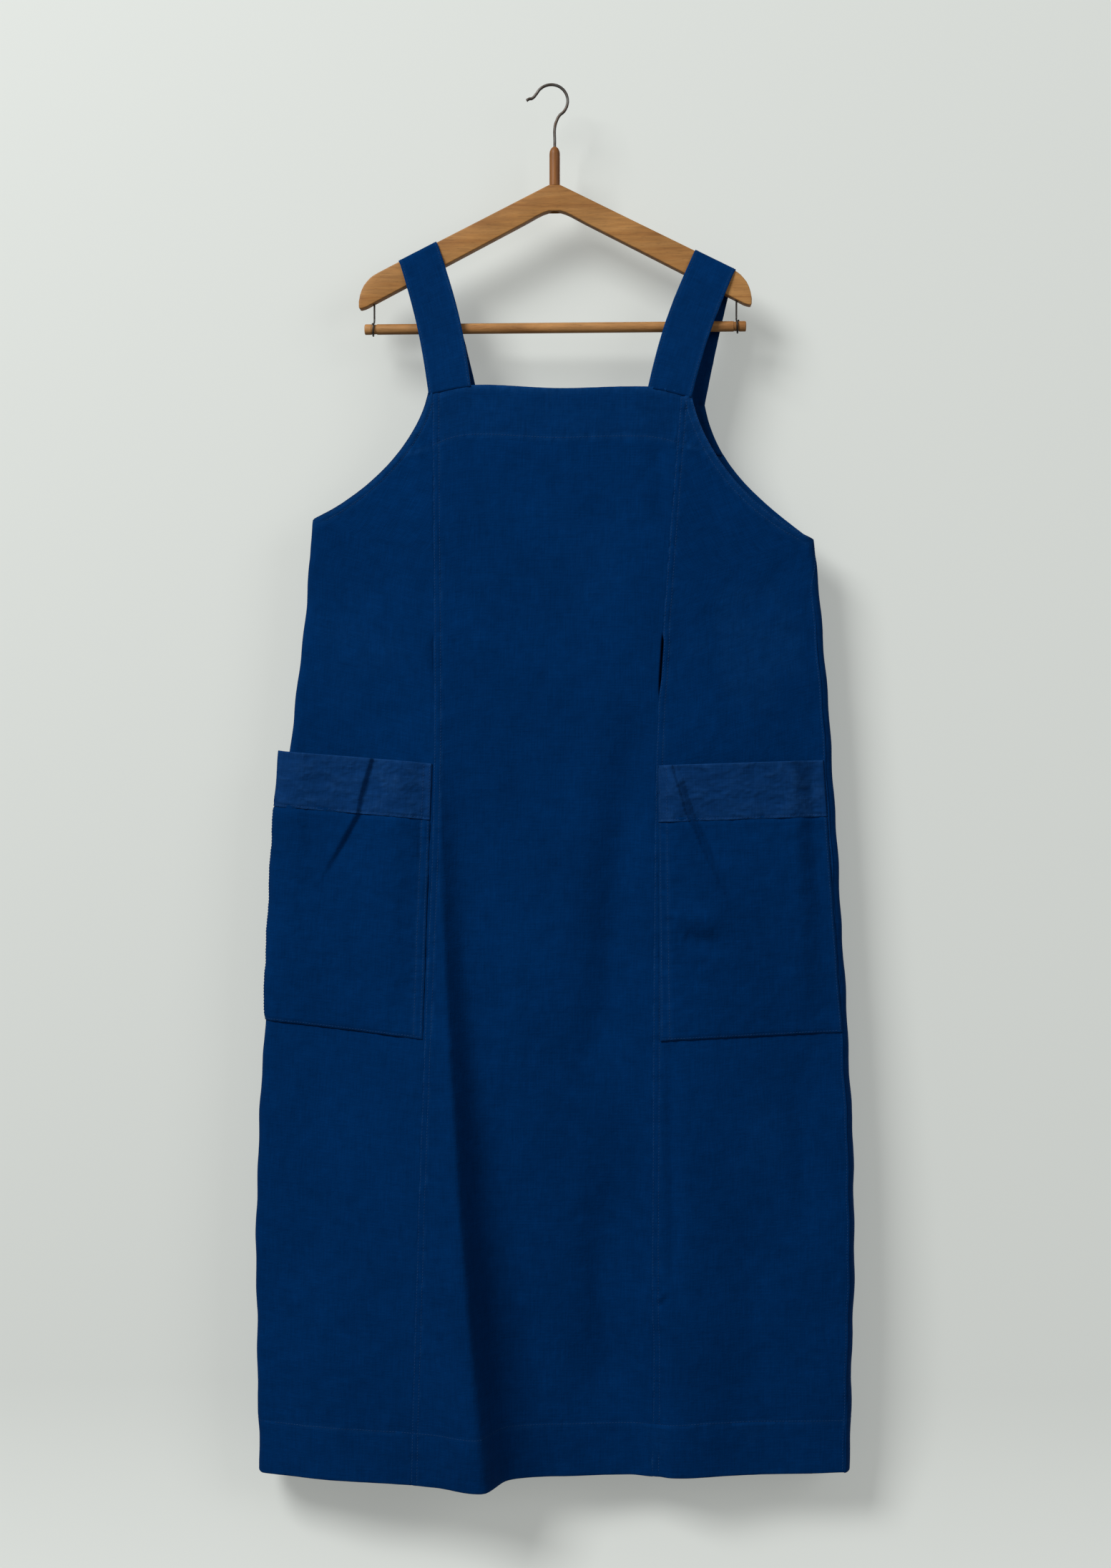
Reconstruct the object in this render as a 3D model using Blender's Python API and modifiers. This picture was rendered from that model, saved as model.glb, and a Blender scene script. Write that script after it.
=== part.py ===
"""Artist's pinafore smock hung on a wooden hanger, one object for each separate piece.

Metres, +Z up. The smock's front faces -Y. The origin is the inside of the hook's bend,
straight above its stem.
"""

import math

import bmesh
import bpy
from mathutils import Vector

# Hook and neck
HOOK_WIRE_RADIUS = 0.0016
HOOK_BEND_RADIUS = 0.018
HOOK_BEND_SHIFT = 0.0039  # the bend's centre lies this far to the left of the stem
RUNNING_GAP = 0.0003
NECK_RADIUS = 0.0058
NECK_TOP_Z = -0.0655
NECK_DOME_HEIGHT = 0.0085

# Yoke, the hanger's bent wooden arms
YOKE_APEX_Z = -0.1088
YOKE_PAD_HALF = 0.0064  # the flat under the neck
YOKE_HALF_LENGTH = 0.2140
YOKE_THICKNESS = 0.0130
YOKE_EDGE_ROUND = 0.0040
YOKE_HEIGHT = 0.0277
ARM_SLOPE = math.radians(26.6)
ARM_END_Z = -0.2420

# Trouser bar and the wires that carry it
BAR_RADIUS = 0.0057
BAR_HALF_LENGTH = 0.2080
BAR_Z = -0.2632
BAR_GROOVE_DEPTH = 0.0005
WIRE_RADIUS = 0.0008
WIRE_HOLE = 0.0020  # radius of the hole that a wire swings in
WIRE_X = 0.1975
EYE_PITCH = 0.0024
SWING_Z = -0.2290  # the wires turn in their holes at this height

# Smock cloth
CLOTH = 0.0010
STRAP_CLOTH = 0.0016
HANGING_ROWS = 5  # of each strap, between a bib and the yoke
FACING_CLOTH = 0.0008
HEM_Z = -1.5070
BIB_TOP_Z = -0.3320
SIDE_ROWS = 12  # of each side panel, below the armhole
SIDE_ROUND = 0.0170
FACING_END = 0.345  # along the armhole edge, from its top corner
FACING_COLUMNS = 8
BINDING_GAP = 0.03  # between the facing's end and the binding's, along the armhole edge
BINDING_WIDTH = 0.0080
BINDING_INSET = 0.0012  # clear of the side panels' facets where they curve under the arm
BAND_SHARE = 0.205  # the pocket band's share of the pocket's height
POCKET_GAPE = 0.0115
POCKET_LIFT = 0.0012  # clear of the panel's facets, where the pocket is sewn down

# Outlines as (x, z). An armhole edge is one cubic curve from the bib's corner to the underarm.
ARMHOLES = {
    ("front", "left"): ((-0.1367, -0.3360), (-0.1480, -0.3895), (-0.2000, -0.4440), (-0.2643, -0.4717)),
    ("front", "right"): ((0.1486, -0.3415), (0.1570, -0.3870), (0.1950, -0.4560), (0.2800, -0.4955)),
    ("back", "left"): ((-0.1280, -0.3460), (-0.1400, -0.4000), (-0.1950, -0.4450), (-0.2643, -0.4717)),
    ("back", "right"): ((0.1634, -0.3455), (0.1740, -0.4053), (0.2115, -0.4437), (0.2800, -0.4955)),
}
# Seams as (z, x), from the top down
SIDE_SEAMS = {
    "left": (
        (-0.4717, -0.2643),
        (-0.6000, -0.2750),
        (-0.8500, -0.3035),
        (-1.2000, -0.3255),
        (-1.5070, -0.3225),
    ),
    "right": (
        (-0.4955, 0.2800),
        (-0.6000, 0.2905),
        (-0.8500, 0.3070),
        (-1.2000, 0.3235),
        (-1.5070, 0.3180),
    ),
}
PANEL_SEAMS = {
    ("front", "left"): ((-0.3300, -0.1325), (-0.7600, -0.1307), (-1.0500, -0.1392), (-1.5070, -0.1517)),
    ("front", "right"): ((-0.3300, 0.1375), (-0.6100, 0.1165), (-0.7800, 0.1090), (-1.5070, 0.1040)),
    ("back", "left"): ((-0.3300, -0.1180), (-0.7600, -0.1180), (-1.5070, -0.1400)),
    ("back", "right"): ((-0.3300, 0.1430), (-0.7600, 0.1280), (-1.5070, 0.1320)),
}
# How far each bib hangs from the hanger's middle plane, as (x, depth): less towards the sides
BIB_DEPTH = (
    (-0.2700, 0.0090),
    (-0.1500, 0.0175),
    (0.0000, 0.0180),
    (0.1500, 0.0175),
    (0.2800, 0.0075),
)
# Top edges as (x, z)
TOP_EDGES = {
    "front": (
        (-0.1367, -0.3360),
        (-0.0880, -0.3280),
        (0.0000, -0.3320),
        (0.1010, -0.3315),
        (0.1486, -0.3415),
    ),
    "back": ((-0.1280, -0.3460), (0.0150, -0.3480), (0.1634, -0.3455)),
}
CENTRE_TOP = (-0.1325, 0.1375)  # x of the centre panels' two top corners
CENTRE_HEM = (-0.1517, 0.1040)  # x of their two corners at the hem
# How much higher than HEM_Z the hem is, as (x, rise)
HEM_RISE = ((-0.3400, 0.0), (0.0400, 0.0), (0.1700, 0.0055), (0.3400, 0.0085))
# Each centre panel's columns, as shares of its width, and its number of rows
CENTRE_GRIDS = {
    "front": ((0, 0.10, 0.20, 0.28, 0.36, 0.46, 0.58, 0.70, 0.82, 0.92, 1), 20),
    "back": ((0, 0.17, 0.33, 0.5, 0.67, 0.83, 1), 14),
}
FOLD_CREST = ((-0.7000, -0.1240), (-0.9000, -0.1190), (-1.1770, -0.1010), (-1.5070, -0.0720))
FOLD_TOP_Z = -0.6800
# Pocket corners as (x, z): top inner, top outer, bottom inner, bottom outer
POCKETS = {
    "left": ((-0.1345, -0.7390), (-0.2830, -0.7245), (-0.1430, -1.0347), (-0.3080, -1.0170)),
    "right": ((0.1120, -0.7410), (0.2905, -0.7352), (0.1150, -1.0374), (0.3105, -1.0280)),
}
# Strap ends as (x, z) on the bib's top edge, inner corner first
STRAP_ENDS = {
    ("front", "left"): ((-0.0900, -0.3280), (-0.1362, -0.3358)),
    ("front", "right"): ((0.1011, -0.3315), (0.1484, -0.3413)),
    ("back", "left"): ((-0.0820, -0.3470), (-0.1278, -0.3460)),
    ("back", "right"): ((0.1160, -0.3467), (0.1632, -0.3455)),
}
# Where each strap lies on the yoke, as x of its inner and outer edge
STRAP_SEATS = {"left": (-0.1287, -0.1700), "right": (0.1525, 0.1960)}

COLOURS = {
    "cloth": (0.0008, 0.0210, 0.0880, 1.0),
    "cloth_light": (0.0020, 0.0250, 0.0980, 1.0),
    "wood": (0.3700, 0.1750, 0.0600, 1.0),
    "wood_dark": (0.2400, 0.0950, 0.0300, 1.0),
    "steel": (0.0900, 0.0900, 0.0850, 1.0),
}


def clear_scene():
    for obj in list(bpy.data.objects):
        bpy.data.objects.remove(obj)


def material(name, roughness, metallic=0.0):
    made = bpy.data.materials.new(name)
    made.use_nodes = True
    shader = made.node_tree.nodes["Principled BSDF"]
    shader.inputs["Base Color"].default_value = COLOURS[name]
    shader.inputs["Roughness"].default_value = roughness
    shader.inputs["Metallic"].default_value = metallic
    made.diffuse_color = COLOURS[name]
    return made


def collection(name):
    made = bpy.data.collections.new(name)
    bpy.context.scene.collection.children.link(made)
    return made


def add_object(name, data, group, finish=None):
    obj = bpy.data.objects.new(name, data)
    group.objects.link(obj)
    if finish:
        data.materials.append(finish)
    return obj


def mix(a, b, share):
    return a + (b - a) * share


def ease(start, end, value):
    """0 before start, 1 past end, smooth between."""
    share = min(1.0, max(0.0, (value - start) / (end - start)))
    return share * share * (3 - 2 * share)


def through(points, at):
    """A smooth curve's value at a place, through (place, value) points in either order of place."""
    if points[0][0] > points[-1][0]:
        points = points[::-1]
    places = [point[0] for point in points]
    if at <= places[0]:
        return points[0][1]
    if at >= places[-1]:
        return points[-1][1]
    i = max(k for k in range(len(points) - 1) if places[k] <= at)
    span = places[i + 1] - places[i]

    def slope(k):
        low, high = max(k - 1, 0), min(k + 1, len(points) - 1)
        return (points[high][1] - points[low][1]) / (places[high] - places[low])

    share = (at - places[i]) / span
    return (
        points[i][1] * (1 + 2 * share) * (1 - share) ** 2
        + points[i + 1][1] * share**2 * (3 - 2 * share)
        + slope(i) * span * share * (1 - share) ** 2
        - slope(i + 1) * span * share**2 * (1 - share)
    )


def cubic(corners, share):
    """A point on the cubic curve with these four corners."""
    a, b, c, d = (Vector(corner) for corner in corners)
    rest = 1 - share
    return a * rest**3 + b * 3 * rest**2 * share + c * 3 * rest * share**2 + d * share**3


def side_rounding(x, z):
    """1 over the smock's width, falling to 0 round its two sides, where front and back meet."""
    factor = 1.0
    for reach in (x - through(SIDE_SEAMS["left"], z), through(SIDE_SEAMS["right"], z) - x):
        share = min(1.0, max(0.0, reach / SIDE_ROUND))
        factor *= math.sqrt(1 - (1 - share) ** 2)
    return factor


def hem_z(x):
    """The hem's height, a little higher to the right."""
    return HEM_Z + through(HEM_RISE, x)


def front_depth(x, z):
    """How far the front hangs out from the middle plane: flat at the bib, with two long folds below."""
    left, right = through(SIDE_SEAMS["left"], z), through(SIDE_SEAMS["right"], z)
    crest, seam = through(FOLD_CREST, z), through(PANEL_SEAMS["front", "right"], z)
    folds = (
        (left, 0.024),
        (left + 0.090, 0.046),
        (crest - 0.050, 0.066),
        (crest, 0.080),
        (crest + 0.019, 0.042),
        (crest + 0.038, 0.032),
        (crest + 0.080, 0.025),
        (seam - 0.022, 0.019),
        (seam + 0.018, 0.038),
        (seam + 0.090, 0.031),
        (right, 0.024),
    )
    growth = ease(FOLD_TOP_Z, HEM_Z, z)
    return mix(through(BIB_DEPTH, x), through(folds, x), growth) * side_rounding(x, z)


def back_depth(x, z):
    """The back hangs flatter, with three shallow folds."""
    folds = (
        (-0.320, 0.020),
        (-0.200, 0.034),
        (-0.090, 0.022),
        (0.020, 0.036),
        (0.120, 0.022),
        (0.220, 0.034),
        (0.320, 0.020),
    )
    growth = ease(FOLD_TOP_Z, HEM_Z, z)
    return mix(through(BIB_DEPTH, x), through(folds, x), growth) * side_rounding(x, z)


def cloth_point(face, x, z, lift=0.0):
    """A point on the smock's front or back, lifted outwards from the cloth's inner surface."""
    depth = front_depth if face == "front" else back_depth
    step = 0.0005
    out = Vector(
        (
            depth(x - step, z) - depth(x + step, z),
            2 * step,
            depth(x, z - step) - depth(x, z + step),
        )
    ).normalized()
    point = Vector((x, max(depth(x, z), RUNNING_GAP / 2), z)) + out * lift
    if face == "front":
        point.y = -point.y
    return point


def sheet(name, rows, thickness, outward, group, finish):
    """A thin closed shell: a grid laid through rows of points, thickened on its outward side."""
    columns = len(rows[0]) - 1
    shell = bmesh.new()
    bmesh.ops.create_grid(shell, x_segments=columns, y_segments=len(rows) - 1, size=0.5)
    for vertex in shell.verts:
        across = round((vertex.co.x + 0.5) * columns)
        up = round((vertex.co.y + 0.5) * (len(rows) - 1))
        vertex.co = rows[up][across]
    shell.normal_update()
    if sum(face.normal.dot(outward(face.calc_center_median())) for face in shell.faces) < 0:
        bmesh.ops.reverse_faces(shell, faces=shell.faces[:])
    data = bpy.data.meshes.new(name)
    shell.to_mesh(data)
    shell.free()
    data.shade_smooth()
    obj = add_object(name, data, group, finish)
    thicken = obj.modifiers.new("Solidify", "SOLIDIFY")
    thicken.thickness = thickness
    thicken.offset = 1.0
    return obj


def faces_out(face):
    towards = Vector((0, -1 if face == "front" else 1, 0))
    return lambda place: towards


def centre_panel(face, group, finish):
    """Between the two panel seams, from the bib's top edge to the hem."""
    shares, count = CENTRE_GRIDS[face]
    gap = RUNNING_GAP / 2
    rows = []
    for k in range(count + 1):
        row = []
        for share in shares:
            top = through(TOP_EDGES[face], mix(*CENTRE_TOP, share))
            z = mix(hem_z(mix(*CENTRE_HEM, share)), top, k / count)
            left = through(PANEL_SEAMS[face, "left"], z) + gap
            right = through(PANEL_SEAMS[face, "right"], z) - gap
            row.append(cloth_point(face, mix(left, right, share), z))
        rows.append(row)
    sheet(f"{face}_centre_panel", rows, CLOTH, faces_out(face), group, finish)


def side_panel(face, side, group, finish):
    """From the panel seam out to the armhole edge above and the side seam below."""
    armhole = ARMHOLES[face, side]
    shares = (0, 0.25, 0.50, 0.70, 0.84, 0.93, 0.98, 1)
    inwards = 1 if side == "left" else -1
    top_z, corner_z = armhole[0][1], armhole[3][1]
    turn_z = corner_z - 0.045  # where the row through the underarm meets the panel seam
    ends = []
    for share in (0, 0.14, 0.28, 0.42, 0.55, 0.68, 0.79, 0.88, 0.95, 1):
        ends.append((cubic(armhole, share), mix(top_z, turn_z, share)))
    outer_hem = hem_z(through(SIDE_SEAMS[side], HEM_Z))
    inner_hem = hem_z(through(PANEL_SEAMS[face, side], HEM_Z))
    for k in range(1, SIDE_ROWS + 1):
        z = mix(corner_z, outer_hem, k / SIDE_ROWS)
        outer = Vector((through(SIDE_SEAMS[side], z), z))
        ends.append((outer, mix(turn_z, inner_hem, k / SIDE_ROWS)))
    rows = []
    for outer, inner_z in ends:
        inner = Vector((through(PANEL_SEAMS[face, side], inner_z) - inwards * RUNNING_GAP / 2, inner_z))
        spots = [inner.lerp(outer, share) for share in shares]
        rows.append([cloth_point(face, spot.x, spot.y) for spot in spots])
    sheet(f"{face}_side_panel_{side}", rows, CLOTH, faces_out(face), group, finish)


def bib_facing(face, group, finish):
    """The strip sewn inside the bib's top edge."""
    inset = RUNNING_GAP + FACING_CLOTH
    rows = []
    for share in (0, 0.12, 0.23, FACING_END - BINDING_GAP):
        left, right = cubic(ARMHOLES[face, "left"], share), cubic(ARMHOLES[face, "right"], share)
        row = []
        for k in range(FACING_COLUMNS + 1):
            spot = left.lerp(right, k / FACING_COLUMNS)
            z = through(TOP_EDGES[face], spot.x) if share == 0 else spot.y
            row.append(cloth_point(face, spot.x, z, -inset))
        rows.append(row)
    sheet(f"{face}_bib_facing", rows, FACING_CLOTH, faces_out(face), group, finish)


def armhole_binding(side, group, finish):
    """A narrow strip inside the armhole, from the front facing under the arm to the back facing."""
    inset = BINDING_INSET + FACING_CLOTH
    shares = [mix(FACING_END, 0.93, k / 7) for k in range(8)]
    inwards = 1 if side == "left" else -1
    rows = []

    def edge_row(face, share):
        here = cubic(ARMHOLES[face, side], share)
        along = (cubic(ARMHOLES[face, side], share + 0.01) - here).normalized()
        into_cloth = Vector((-along.y, along.x)) * inwards
        if into_cloth.y > 0:
            into_cloth.negate()
        spots = [here + into_cloth * BINDING_WIDTH * step for step in (0, 1)]
        return [cloth_point(face, spot.x, spot.y, -inset) for spot in spots]

    for share in shares:
        rows.append(edge_row("front", share))
    corner = Vector(ARMHOLES["front", side][3])
    tuck = inwards * 0.0070
    drops = (0.0010, BINDING_WIDTH + 0.0010)
    rows.append([Vector((corner.x + tuck, 0, corner.y - drop)) for drop in drops])
    for share in reversed(shares):
        rows.append(edge_row("back", share))
    middle = Vector((corner.x + inwards * 0.08, 0, corner.y))
    sheet(f"armhole_binding_{side}", rows, FACING_CLOTH, lambda place: place - middle, group, finish)


def pocket(side, group, finish, band_finish):
    """A patch sewn on three edges that gapes at its top, and the folded band along that top."""
    top_inner, top_outer, low_inner, low_outer = (Vector(corner) for corner in POCKETS[side])

    def patch_row(down):
        inner, outer = top_inner.lerp(low_inner, down), top_outer.lerp(low_outer, down)
        row = []
        for share in (0, 0.06, 0.20, 0.40, 0.60, 0.80, 0.94, 1):
            spot = inner.lerp(outer, share)
            gape = POCKET_GAPE * math.sin(math.pi * share) ** 0.6 * (1 - down) ** 0.7
            row.append(cloth_point("front", spot.x, spot.y, CLOTH + POCKET_LIFT + gape))
        return row

    seam = RUNNING_GAP / (top_inner.y - low_inner.y) / 2
    band = [patch_row(down) for down in (0, BAND_SHARE / 2, BAND_SHARE - seam)]
    patch = [patch_row(mix(BAND_SHARE + seam, 1, k / 6)) for k in range(7)]
    sheet(f"pocket_band_{side}", band, CLOTH, faces_out("front"), group, band_finish)
    sheet(f"pocket_{side}", patch, CLOTH, faces_out("front"), group, finish)


def strap(side, group, finish):
    """From the front bib, up over the yoke's arm and down to the back bib."""
    inwards = 1 if side == "left" else -1
    up_slope = Vector((-inwards * math.sin(ARM_SLOPE), 0, math.cos(ARM_SLOPE)))
    flat, bend = YOKE_THICKNESS / 2 - YOKE_EDGE_ROUND, YOKE_EDGE_ROUND + RUNNING_GAP
    over = []  # the strap's section over the arm, as (y, drop below the arm's top)
    for face_sign in (-1, 1):
        turns = []
        for angle in (0, math.pi / 6, math.pi / 3, math.pi / 2):
            y = face_sign * (flat + bend * math.cos(angle))
            turns.append((y, bend * (math.sin(angle) - 1)))
        over += turns if face_sign < 0 else turns[::-1]
    rows = []
    for y, rise in over:
        row = []
        for share in (0, 0.33, 0.67, 1):
            x = mix(*STRAP_SEATS[side], share)
            arm_z = YOKE_APEX_Z - (abs(x) - YOKE_PAD_HALF) * math.tan(ARM_SLOPE)
            row.append(Vector((x, y, arm_z)) + up_slope * (rise + RUNNING_GAP))
        rows.append(row)

    def hanging(face, seat_row):
        inner, outer = (Vector(end) for end in STRAP_ENDS[face, side])
        low_row = []
        for share in (0, 0.33, 0.67, 1):
            spot = inner.lerp(outer, share)
            spot.y = through(TOP_EDGES[face], spot.x) + RUNNING_GAP + 0.0002
            low_row.append(cloth_point(face, spot.x, spot.y))
        steps = [k / HANGING_ROWS for k in range(HANGING_ROWS)]
        pairs = list(zip(low_row, seat_row))
        return [[low.lerp(seat, step) for low, seat in pairs] for step in steps]

    rows = hanging("front", rows[0]) + rows + hanging("back", rows[-1])[::-1]
    middle = Vector((sum(STRAP_SEATS[side]) / 2, 0, BIB_TOP_Z))
    sheet(f"strap_{side}", rows, STRAP_CLOTH, lambda place: place - middle, group, finish)


def turned(name, profile, group, finish, steps=24):
    """A closed profile of (radius, z) turned about the object's own Z axis."""
    data = bpy.data.meshes.new(name)
    points = [(radius, 0, z) for radius, z in profile]
    edges = [(i, (i + 1) % len(points)) for i in range(len(points))]
    data.from_pydata(points, edges, [])
    obj = add_object(name, data, group, finish)
    screw = obj.modifiers.new("Screw", "SCREW")
    screw.steps = screw.render_steps = steps
    screw.use_merge_vertices = True
    screw.merge_threshold = 0.00001
    screw.use_smooth_shade = True
    return obj


def wire(name, points, radius, group, finish, resolution=4, smooth=True):
    """A round wire through the points, with closed ends."""
    data = bpy.data.curves.new(name, "CURVE")
    data.dimensions = "3D"
    data.bevel_depth = radius
    data.bevel_resolution = 2
    data.use_fill_caps = True
    data.resolution_u = resolution
    spline = data.splines.new("BEZIER" if smooth else "POLY")
    if smooth:
        spline.bezier_points.add(len(points) - 1)
        for knot, point in zip(spline.bezier_points, points):
            knot.co = point
            knot.handle_left_type = knot.handle_right_type = "AUTO"
    else:
        spline.points.add(len(points) - 1)
        for knot, point in zip(spline.points, points):
            knot.co = (*point, 1)
    return add_object(name, data, group, finish)


def hook(group, steel):
    """Bent wire: a flicked tip, a round bend and a stem that runs down through the neck and yoke."""
    inner = HOOK_BEND_RADIUS - HOOK_WIRE_RADIUS
    centre = Vector((-HOOK_BEND_SHIFT, 0, -math.sqrt(inner**2 - HOOK_BEND_SHIFT**2)))
    points = [Vector((-0.0308, 0, -0.0150)), Vector((-0.0250, 0, -0.0128))]
    for angle in range(152, -60, -25):
        turn = math.radians(angle)
        points.append(centre + Vector((math.cos(turn), 0, math.sin(turn))) * HOOK_BEND_RADIUS)
    points += [Vector((0.0022, 0, -0.0372)), Vector((0.0002, 0, -0.0440)), Vector((0, 0, -0.0600))]
    points.append(Vector((0, 0, YOKE_APEX_Z - 0.0200)))
    wire("hook", points, HOOK_WIRE_RADIUS, group, steel)


def hook_fasteners(group, steel):
    """The washer and nut that hold the hook, in the counterbore under the yoke."""
    bore = HOOK_WIRE_RADIUS + RUNNING_GAP
    washer_top = YOKE_APEX_Z - 0.0154
    for name, radius, top, height in (
        ("hook_washer", 0.0042, washer_top, 0.0010),
        ("hook_nut", 0.0032, washer_top - 0.0013, 0.0026),
    ):
        profile = ((bore, top), (radius, top), (radius, top - height), (bore, top - height))
        turned(name, profile, group, steel, steps=16)


def neck(group, wood):
    """A turned sleeve with a domed top, round the hook's stem."""
    bore = HOOK_WIRE_RADIUS + RUNNING_GAP
    low = YOKE_APEX_Z + RUNNING_GAP
    profile = [(bore, NECK_TOP_Z)]
    for k in range(1, 6):
        turn = math.pi / 2 * k / 5
        radius = mix(bore, NECK_RADIUS, math.sin(turn))
        profile.append((radius, NECK_TOP_Z - NECK_DOME_HEIGHT * (1 - math.cos(turn))))
    profile += [(NECK_RADIUS, low + 0.0012), (NECK_RADIUS - 0.0006, low), (bore, low)]
    turned("neck_sleeve", profile, group, wood)


def yoke_outline():
    """The right half of the bent arms, from the pad round the rounded end to the underside's middle."""
    slope = math.tan(ARM_SLOPE)
    end_x = YOKE_HALF_LENGTH
    points = [Vector((YOKE_PAD_HALF, YOKE_APEX_Z))]
    shoulder = Vector((0.1930, YOKE_APEX_Z - (0.1930 - YOKE_PAD_HALF) * slope))
    rounded_end = (
        shoulder,
        Vector((0.2060, shoulder.y - 0.0065)),
        Vector((end_x, -0.2200)),
        Vector((end_x, ARM_END_Z + 0.0020)),
    )
    points += [cubic(rounded_end, k / 7) for k in range(8)]
    points += [Vector((end_x - 0.0018, ARM_END_Z)), Vector((end_x - 0.0070, ARM_END_Z + 0.0016))]
    under_z = YOKE_APEX_Z - YOKE_HEIGHT
    bow = (
        Vector((0.0330, under_z - 0.0135)),
        Vector((0.0190, under_z - 0.0062)),
        Vector((0.0120, under_z)),
        Vector((0, under_z)),
    )
    points += [cubic(bow, k / 4) for k in range(5)]
    return points


def yoke(group, cutters, wood):
    """A flat outline with rounded edges, drilled for the hook and for the two bar wires."""
    half = yoke_outline()
    outline = half + [Vector((-point.x, point.y)) for point in reversed(half[:-1])]
    data = bpy.data.curves.new("yoke_outline", "CURVE")
    data.dimensions = "2D"
    data.fill_mode = "BOTH"
    data.bevel_depth = YOKE_EDGE_ROUND
    data.bevel_resolution = 2
    data.offset = -YOKE_EDGE_ROUND
    data.extrude = YOKE_THICKNESS / 2 - YOKE_EDGE_ROUND
    spline = data.splines.new("POLY")
    spline.points.add(len(outline) - 1)
    for knot, point in zip(spline.points, outline):
        knot.co = (point.x, point.y, 0, 1)
    spline.use_cyclic_u = True
    guide = add_object("yoke_guide", data, group)
    guide.rotation_euler.x = math.pi / 2
    bpy.context.view_layer.update()
    seen = guide.evaluated_get(bpy.context.evaluated_depsgraph_get())
    mesh = bpy.data.meshes.new_from_object(seen)
    solid = bmesh.new()
    solid.from_mesh(mesh)
    bmesh.ops.remove_doubles(solid, verts=solid.verts[:], dist=0.00001)
    bmesh.ops.recalc_face_normals(solid, faces=solid.faces[:])
    solid.to_mesh(mesh)
    solid.free()
    mesh.shade_smooth()
    mesh.set_sharp_from_angle(angle=math.radians(40))
    obj = add_object("yoke", mesh, group, wood)
    obj.matrix_world = guide.matrix_world.copy()
    bpy.data.objects.remove(guide)
    under_z = YOKE_APEX_Z - YOKE_HEIGHT
    arm_under_z = ARM_END_Z + 0.0060
    holes = (
        ("hook_bore", 0, HOOK_WIRE_RADIUS + RUNNING_GAP, YOKE_APEX_Z + 0.005, under_z - 0.005),
        ("nut_counterbore", 0, 0.0048, YOKE_APEX_Z - 0.0150, under_z - 0.005),
        ("wire_hole_left", -WIRE_X, WIRE_HOLE, SWING_Z + 0.004, arm_under_z - 0.012),
        ("wire_hole_right", WIRE_X, WIRE_HOLE, SWING_Z + 0.004, arm_under_z - 0.012),
    )
    for name, x, radius, top, low in holes:
        drill = bmesh.new()
        size = {"radius1": radius, "radius2": radius, "depth": top - low}
        bmesh.ops.create_cone(drill, cap_ends=True, segments=20, **size)
        cutter_mesh = bpy.data.meshes.new(name)
        drill.to_mesh(cutter_mesh)
        drill.free()
        cutter = add_object(name, cutter_mesh, cutters)
        cutter.location = (x, 0, (top + low) / 2)
        cutter.hide_render = True
        cutter.display_type = "WIRE"
        cut = obj.modifiers.new(name, "BOOLEAN")
        cut.object = cutter
        cut.operation = "DIFFERENCE"
        cut.solver = "EXACT"
    return obj


def bar_assembly(group, wood, steel):
    """The round bar and the two wires whose eyes it turns in, all under an empty on the swing axis."""
    swing = bpy.data.objects.new("bar_swing_axis", None)
    group.objects.link(swing)
    swing.location = (0, 0, SWING_Z)
    end, chamfer = BAR_HALF_LENGTH, 0.0010
    groove, groove_half = BAR_RADIUS - BAR_GROOVE_DEPTH, 0.0032
    half = [
        (BAR_RADIUS - chamfer, end),
        (BAR_RADIUS, end - chamfer),
        (BAR_RADIUS, WIRE_X + groove_half),
        (groove, WIRE_X + groove_half - 0.0006),
        (groove, WIRE_X - groove_half + 0.0006),
        (BAR_RADIUS, WIRE_X - groove_half),
    ]
    profile = [(0, end)] + half + [(radius, -z) for radius, z in reversed(half)] + [(0, -end)]
    data = bpy.data.meshes.new("trouser_bar")
    points = [(radius, 0, z) for radius, z in profile]
    data.from_pydata(points, [(i, i + 1) for i in range(len(points) - 1)], [])
    bar = add_object("trouser_bar", data, group, wood)
    screw = bar.modifiers.new("Screw", "SCREW")
    screw.steps = screw.render_steps = 20
    screw.use_merge_vertices = True
    screw.merge_threshold = 0.00001
    screw.use_smooth_shade = True
    bar.rotation_euler.y = math.pi / 2
    bar.location.z = BAR_Z - SWING_Z
    bar.parent = swing
    eye_radius = groove + RUNNING_GAP + WIRE_RADIUS + 0.0004
    for side, sign in (("left", -1), ("right", 1)):
        points = [Vector((0, 0, 0.0010)), Vector((0, 0, (BAR_Z - SWING_Z) * 0.5))]
        points.append(Vector((0, 0, BAR_Z - SWING_Z + eye_radius + 0.0030)))
        for k in range(21):
            turn = math.radians(78 - 335 * k / 20)
            across = sign * (EYE_PITCH * k / 20 - EYE_PITCH / 2 + 0.0012)
            y = -eye_radius * math.cos(turn)
            points.append(Vector((across, y, BAR_Z - SWING_Z + eye_radius * math.sin(turn))))
        made = wire(f"bar_wire_{side}", points, WIRE_RADIUS, group, steel, smooth=False)
        made.location.x = sign * WIRE_X
        made.parent = swing


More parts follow.
